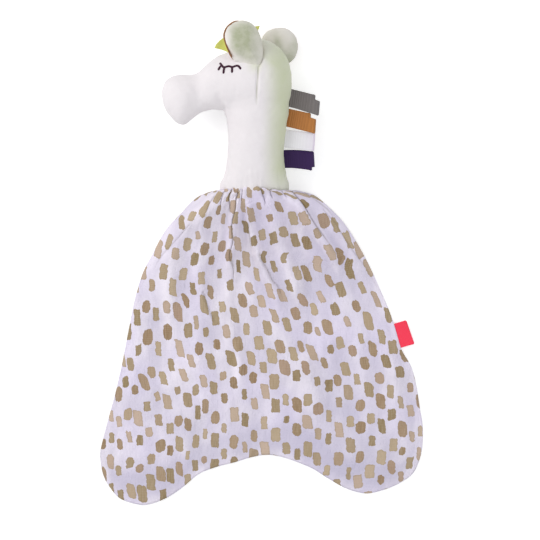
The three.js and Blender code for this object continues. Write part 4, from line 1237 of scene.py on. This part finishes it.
# the painted sage shade, mottled
sage_shade_share = ear_velour.math("MULTIPLY", ear_velour.attribute("sage_shade"), mottle)
ear_colour = ear_velour.mix(ear_velour.math("MINIMUM", sage_shade_share, 1.0), EAR_IVORY, EAR_SAGE_SHADE)
ear_velour.surface(ear_colour, velour_bump(ear_velour, here, EAR_TUFT_SCALE), roughness=0.95, sheen=0.35)
for ear, body in ((near_ear, "near_ear"), (far_ear, "far_ear")):
    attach(ear, body)
    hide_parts(body)


# ---------------------------------------------------------------------------------------------
# Ear linings: plain-woven brown cotton under each ear, sewn to its edge. The near one rolls out past
# the velour along the front edge, so that it shows there as a thin brown line.

LINING = 0.45
LINING_GAP = 0.12  # between the lining and the velour over it
LINING_RINGS = 16
LINING_PEEP = 0.45  # how far it rolls out past the velour's edge,
LINING_INSET = -0.9  # and how far it ends inside it elsewhere
ROLL_TOP = 0.35  # the rolled edge comes up to the ear's rim
ROLL_RISE = 0.95
lining_cloth = Finish("brown_cotton")


def ear_lining(name, node, body, ear, place, rim, peeps):
    own = place.inverted()
    under = surface_of(ear)
    middle = rim.mean(axis=0)
    edge = []
    for (u, v), (du, dv) in zip(rim, np.roll(rim, -1, axis=0) - np.roll(rim, 1, axis=0)):
        outward = Vector((dv, -du)).normalized()
        outward = outward if outward.dot(Vector((u - middle[0], v - middle[1]))) > 0 else -outward
        shown = peeps * rise((2.5 - u) / 7) * rise((v - 4.5) / 6)
        step = mix(LINING_INSET, LINING_PEEP, shown)
        edge.append((u + outward.x * step, v + outward.y * step, shown))
    bm = bmesh.new()
    flat_layer = bm.verts.layers.float_vector.new("flat")
    made = bmesh.ops.create_grid(bm, x_segments=len(rim), y_segments=LINING_RINGS, size=1)["verts"]
    up = (place.to_3x3() @ Vector((0, 0, 1))).normalized()
    for vert in made:
        edge_u, edge_v, shown = edge[round((vert.co.x + 1) / 2 * len(rim)) % len(rim)]
        share = ((vert.co.y + 1) / 2) ** 0.8
        u, v = mix(middle[0], edge_u, share), mix(middle[1], edge_v, share)
        draw_in = 0.06 * (1 - min(1.0, (rim_gap(rim, u, v) + 0.4) / 2))
        below_ear = Vector((mix(u, middle[0], draw_in), mix(v, middle[1], draw_in), -30))
        hit = under.ray_cast(place @ below_ear, up)[0]
        low = (own @ hit).z if hit is not None else 0.0
        roll = shown * rise((share - 0.93) / 0.07)
        height = mix(low - LINING / 2 - LINING_GAP, min(ROLL_TOP, low + ROLL_RISE), roll)
        vert[flat_layer] = Vector((u, v, 0)) * MM
        vert.co = place @ Vector((u, v, height))
    bmesh.ops.remove_doubles(bm, verts=bm.verts, dist=0.01 * MM)
    bmesh.ops.recalc_face_normals(bm, faces=bm.faces)
    lining = thickened(finished(name, as_mesh(name, bm), lining_cloth.material), LINING)
    for vert in lining.data.vertices:
        vert.co.z = max(vert.co.z, 0.05 * MM)
    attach(lining, body)
    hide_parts(node)


flat_cloth = lining_cloth.attribute("flat", "Vector")
weft = lining_cloth.bands("X", flat_cloth, 520.0, 0.4)
warp = lining_cloth.bands("Y", flat_cloth, 520.0, 0.4)
weave = lining_cloth.math("MULTIPLY", weft, warp)
tone = lining_cloth.noise(flat_cloth, 300, 2)
lining_colour = lining_cloth.mix(tone.outputs["Fac"], linear(166, 116, 70), linear(144, 97, 58))
thread_shine = lining_cloth.math("MULTIPLY", weave, 0.25)
lining_colour = lining_cloth.mix(thread_shine, lining_colour, linear(190, 148, 98))
lining_bump = lining_cloth.bump(weave, 0.2 * MM, 0.6)
lining_cloth.surface(lining_colour, lining_bump, roughness=0.85, sheen=0.1)
ear_lining("near_ear_cotton", "near_ear_lining", "near_ear", near_ear, near_place, near_rim, 1.0)
ear_lining("far_ear_cotton", "far_ear_lining", "far_ear", far_ear, far_place, far_rim, 0.0)


# ---------------------------------------------------------------------------------------------
# Forelock: lime green felt, cut in points and caught in the seam over the crown. Only its two end
# points show beside the near ear.

FELT = 1.2
FELT_VOXEL = 0.3 * MM
FELT_MIDDLE = 21.0  # its height, in the profile seam
FELT_WAVE = 0.7
FELT_CURL = 0.05
FORELOCK = [  # edge in the picture plane, in millimetres
    (-31.3, 141.8), (-30.0, 144.3), (-27.9, 146.7), (-25.4, 148.5), (-22.6, 147.2), (-20.6, 146.3),
    (-19.4, 149.4), (-18.2, 152.6), (-16.2, 150.2), (-14.0, 148.9), (-12.4, 151.8), (-11.0, 154.9),
    (-9.6, 152.8), (-8.3, 152.4), (-6.0, 155.9), (-1.0, 156.6), (-2.2, 153.6), (-3.0, 151.0),
    (-4.0, 142.5), (-9.0, 137.5), (-21.6, 135.5), (-22.8, 139.4), (-26.6, 140.8),
]

felt_bm = bmesh.new()
corners = [felt_bm.verts.new(Vector((x, y, FELT_MIDDLE - FELT / 2)) * MM) for x, y in FORELOCK]
felt_face = felt_bm.faces.new(corners)
raised = bmesh.ops.extrude_face_region(felt_bm, geom=[felt_face])["geom"]
raised = [part for part in raised if isinstance(part, bmesh.types.BMVert)]
bmesh.ops.translate(felt_bm, verts=raised, vec=(0, 0, FELT * MM))
bmesh.ops.triangulate(felt_bm, faces=felt_bm.faces)
bmesh.ops.recalc_face_normals(felt_bm, faces=felt_bm.faces)
felt = Finish("lime_felt")
forelock = finished("felt_points", as_mesh("felt_points", felt_bm), felt.material)
add_modifier(forelock, "REMESH", mode="VOXEL", voxel_size=FELT_VOXEL)
add_modifier(forelock, "SMOOTH", factor=0.5, iterations=2)
apply_modifiers(forelock)
for vert in forelock.data.vertices:
    place = vert.co / MM
    vert.co += Vector(noise.noise_vector(vert.co * 1400)) * 0.07 * MM
    curl = FELT_CURL * (place.y - 142) * noise.noise(vert.co * 60)
    vert.co.z += (FELT_WAVE * math.sin(place.x * 0.35 + 1) + curl) * MM

here = felt.here()
fibres = felt.noise(here, 1300, 4, 0.7)
clumps = felt.noise(here, 320, 3)
felt_colour = felt.mix(clumps.outputs["Fac"], linear(226, 230, 124), linear(214, 218, 112))
pale_fibres = felt.ramp(fibres.outputs["Fac"], 0.45, 0.75, 0.0, 0.4)
felt_colour = felt.mix(pale_fibres, felt_colour, linear(222, 224, 150))
# painted shade: the felt darkens towards its rear point
to_rear = felt.add("SeparateXYZ", Vector=here).outputs["X"]
felt_colour = felt.mix(felt.ramp(to_rear, -6 * MM, -2 * MM, 0.0, 0.55), felt_colour, linear(176, 176, 84))
felt.surface(felt_colour, felt.bump(fibres.outputs["Fac"], 0.5 * MM, 0.7), roughness=0.95, sheen=0.3)
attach(forelock, "forelock")
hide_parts("felt_forelock")


# ---------------------------------------------------------------------------------------------
# Ribbon loops: four pieces of 12 mm grosgrain, each folded in two and caught by both ends in the
# back seam of the neck. Their folds aren't quite square, so that some have a stepped end.

RIBBON_HALF = 6.0
RIBBON = 0.5
RIBBON_ROOT = 1.6  # how far the ends reach into the seam
RIB_PITCH = 1.07
FOLD_ROOM = 1.5  # where a loop is shorter on one side, its last part before the fold is drawn in
STEP_WIDTH = 0.5
CORNER_ROUND = 0.9
STRIP_COLUMNS = 60
LOOP_WAVE = 0.25
RIBBON_EDGE = (5.2, 5.6)  # the woven edge starts between these, off the ribbon's middle
FOLD_TONE = (3, 13)  # the ribbon goes from its fold's tone to its root's between these
LOOP_SECTION = [(0, 0.3), (0.1, 0.35), (0.35, 0.85), (0.68, 1.3), (0.9, 1.35), (0.975, 0.95), (1, 0)]
# Of each loop: its root, the way out of the seam there, its slope and bend off that way, its reach
# above and below the step in its end and where that step is, how much longer its lower edge is, how
# much it widens towards its fold, how deep its ribs show, and its colours at the root and the fold
RIBBONS = {
    "grey": dict(
        root=(20.125, 108.592, 21), outwards=(0.993, -0.117), slope=-0.12, bend=-0.001, above=15.0,
        below=18.3, step=2.9, longer=0.4, widen=0.7, ribs=1.0, colours=((122, 116, 114), (138, 134, 134)),
    ),
    "ochre": dict(
        root=(18.627, 95.551, 20.449), outwards=(0.984, -0.175), slope=-0.045, bend=0, above=13.1,
        below=16.8, step=3.1, longer=1.4, widen=0.3, ribs=1.0, colours=((184, 121, 64), (208, 140, 70)),
    ),
    "white": dict(
        root=(16.495, 81.962, 18.952), outwards=(0.996, -0.088), slope=-0.035, bend=0, above=18.4,
        below=18.5, step=9.0, longer=0.2, widen=0.0, ribs=0.25, colours=((240, 238, 242), (223, 207, 228)),
    ),
    "aubergine": dict(
        root=(16.27, 68.575, 17.298), outwards=(0.998, 0.055), slope=-0.02, bend=-0.0052, above=18.4,
        below=16.6, step=-3.6, longer=0, widen=0.8, ribs=0.6, colours=((52, 28, 78), (64, 40, 92)),
    ),
}


def folded_strip(name, place, half_width, reach, section, rows, thickness, lift, slope=0, bend=0, widen=0):
    """A strip folded in two: across it in columns, and in rows along it out to the fold and back."""
    path = spline([*section, *[(x, -z) for x, z in reversed(section[:-1])]], rows + 1)
    bm = bmesh.new()
    made = bmesh.ops.create_grid(bm, x_segments=STRIP_COLUMNS, y_segments=rows, size=1)["verts"]
    flat = {}
    runs = np.linspace(-1, 1, rows + 1)
    longest = max(reach(across) for across in np.linspace(-half_width, half_width, 60))
    for vert in made:
        across, row = vert.co.x * half_width, round((vert.co.y + 1) / 2 * rows)
        to_side = max(0, 1 - (half_width - abs(across)) / CORNER_ROUND)
        length = reach(across) - CORNER_ROUND * (1 - math.sqrt(1 - to_side ** 2))
        share, height = path[row]
        x = -RIBBON_ROOT + share * (longest + RIBBON_ROOT)
        shortened = length - FOLD_ROOM
        x = x if x < shortened else shortened + (x - shortened) * FOLD_ROOM / (longest - shortened)
        y = across + slope * x + bend * x * x
        y -= widen * smooth(x / longest) * (half_width - across) / (2 * half_width)
        flat[vert.index] = (across * MM, runs[row] * (longest + RIBBON_ROOT) * MM)
        vert.co = place @ Vector((x, y, height + lift(x, across)))
    layer = bm.loops.layers.uv.new("cloth")
    for face in bm.faces:
        for loop in face.loops:
            loop[layer].uv = flat[loop.vert.index]
    return thickened(finished(name, as_mesh(name, bm), None), thickness)


def ribbed(name, depth, at_root, at_fold):
    """Grosgrain: ribs across the ribbon, and a finer edge on both sides."""
    ribbon = Finish(name)
    cloth = ribbon.add("UVMap", {"uv_map": "cloth"}).outputs["UV"]
    place = ribbon.add("SeparateXYZ", Vector=cloth)
    ribs = ribbon.math("MULTIPLY", place.outputs["Y"], 2 * math.pi / (RIB_PITCH * MM))
    ribs = ribbon.math("MULTIPLY_ADD", ribbon.math("SINE", ribs), 0.5, 0.5)
    edge = ribbon.ramp(ribbon.math("ABSOLUTE", place.outputs["X"]), *(end * MM for end in RIBBON_EDGE))
    out = ribbon.math("ABSOLUTE", place.outputs["Y"])
    fold = ribbon.ramp(out, *(end * MM for end in FOLD_TONE), 1.0, 0.0)
    threads = ribbon.noise(ribbon.stretched(cloth, (2600, 700, 1)), 1, 2)
    height = ribbon.math("MULTIPLY", ribs, ribbon.math("SUBTRACT", 1.0, ribbon.math("MULTIPLY", edge, 0.8)))
    height = ribbon.math("MULTIPLY_ADD", threads.outputs["Fac"], 0.3, height)
    colour = ribbon.mix(fold, linear(*at_root), linear(*at_fold))
    darker = tuple(c * 0.62 for c in linear(*at_root)[:3]) + (1,)
    between_ribs = ribbon.math("MULTIPLY", ribbon.math("SUBTRACT", 1.0, ribs), 0.3 * depth)
    colour = ribbon.mix(between_ribs, colour, darker)
    colour = ribbon.mix(ribbon.math("MULTIPLY", edge, 0.2 * depth), colour, darker)
    return ribbon.surface(colour, ribbon.bump(height, 0.3 * MM, 0.8 * depth), roughness=0.6, sheen=0.15)


def loop_reach(loop, across):
    """How far out a loop comes at a place across it."""
    stepped = mix(loop["below"], loop["above"], smooth((across - loop["step"]) / STEP_WIDTH + 0.5))
    return stepped + loop["longer"] * (RIBBON_HALF - across) / (2 * RIBBON_HALF)


for name, loop in RIBBONS.items():
    out_x, out_y = loop["outwards"]
    strip = folded_strip(
        "ribbon_loop_" + name, sewn_frame(loop["root"], (out_x, out_y, 0), (-out_y, out_x, 0)), RIBBON_HALF,
        lambda across: loop_reach(loop, across), LOOP_SECTION, 120, RIBBON,
        lambda x, across: LOOP_WAVE * math.sin(across * 0.5 + x * 0.12) * smooth(x / 12),
        loop["slope"], loop["bend"], loop["widen"],
    )
    strip.data.materials[0] = ribbed("grosgrain_" + name, loop["ribs"], *loop["colours"])
    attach(strip, "loop_" + name)
    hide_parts("ribbon_" + name)


# ---------------------------------------------------------------------------------------------
# Side label: a bare tab of red woven satin, folded in two and caught by both ends in the blanket's
# right side seam. It lies nearly flat, and its lower outer corner lifts a little off the table.

LABEL = 0.4
LABEL_HALF = 8.3
LABEL_REACH = 8.1  # its mean: it is cut a little askew, longer at its lower edge
LABEL_SKEW = 0.4
LABEL_CURL = 0.9
LABEL_SECTION = [(0, 0.22), (0.2, 0.25), (0.6, 0.4), (0.88, 0.42), (0.97, 0.3), (1, 0)]
label_strip = folded_strip(
    "folded_label", sewn_frame((90.599, -48.167, 1.35), (0.959, 0.283, 0), (-0.283, 0.959, 0)), LABEL_HALF,
    lambda across: LABEL_REACH - LABEL_SKEW * across / LABEL_HALF, LABEL_SECTION, 60, LABEL,
    lambda x, across: LABEL_CURL * smooth(x / 9) * smooth((2 - across) / 12),
)
satin = Finish("red_woven_satin")
cloth = satin.add("UVMap", {"uv_map": "cloth"}).outputs["UV"]
twill = satin.bands("DIAGONAL", cloth, 700.0, 0.3)
floats = satin.noise(satin.stretched(cloth, (500, 2600, 1)), 1, 3, 0.6)
label_colour = satin.mix(floats.outputs["Fac"], linear(255, 46, 78), linear(255, 82, 104))
label_colour = satin.mix(satin.math("MULTIPLY", twill, 0.2), label_colour, linear(222, 30, 62))
satin_bump = satin.bump(satin.math("ADD", twill, floats.outputs["Fac"]), 0.15 * MM, 0.6)
label_strip.data.materials[0] = satin.surface(label_colour, satin_bump, roughness=0.45, sheen=0.1)
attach(label_strip, "label")
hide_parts("side_label")
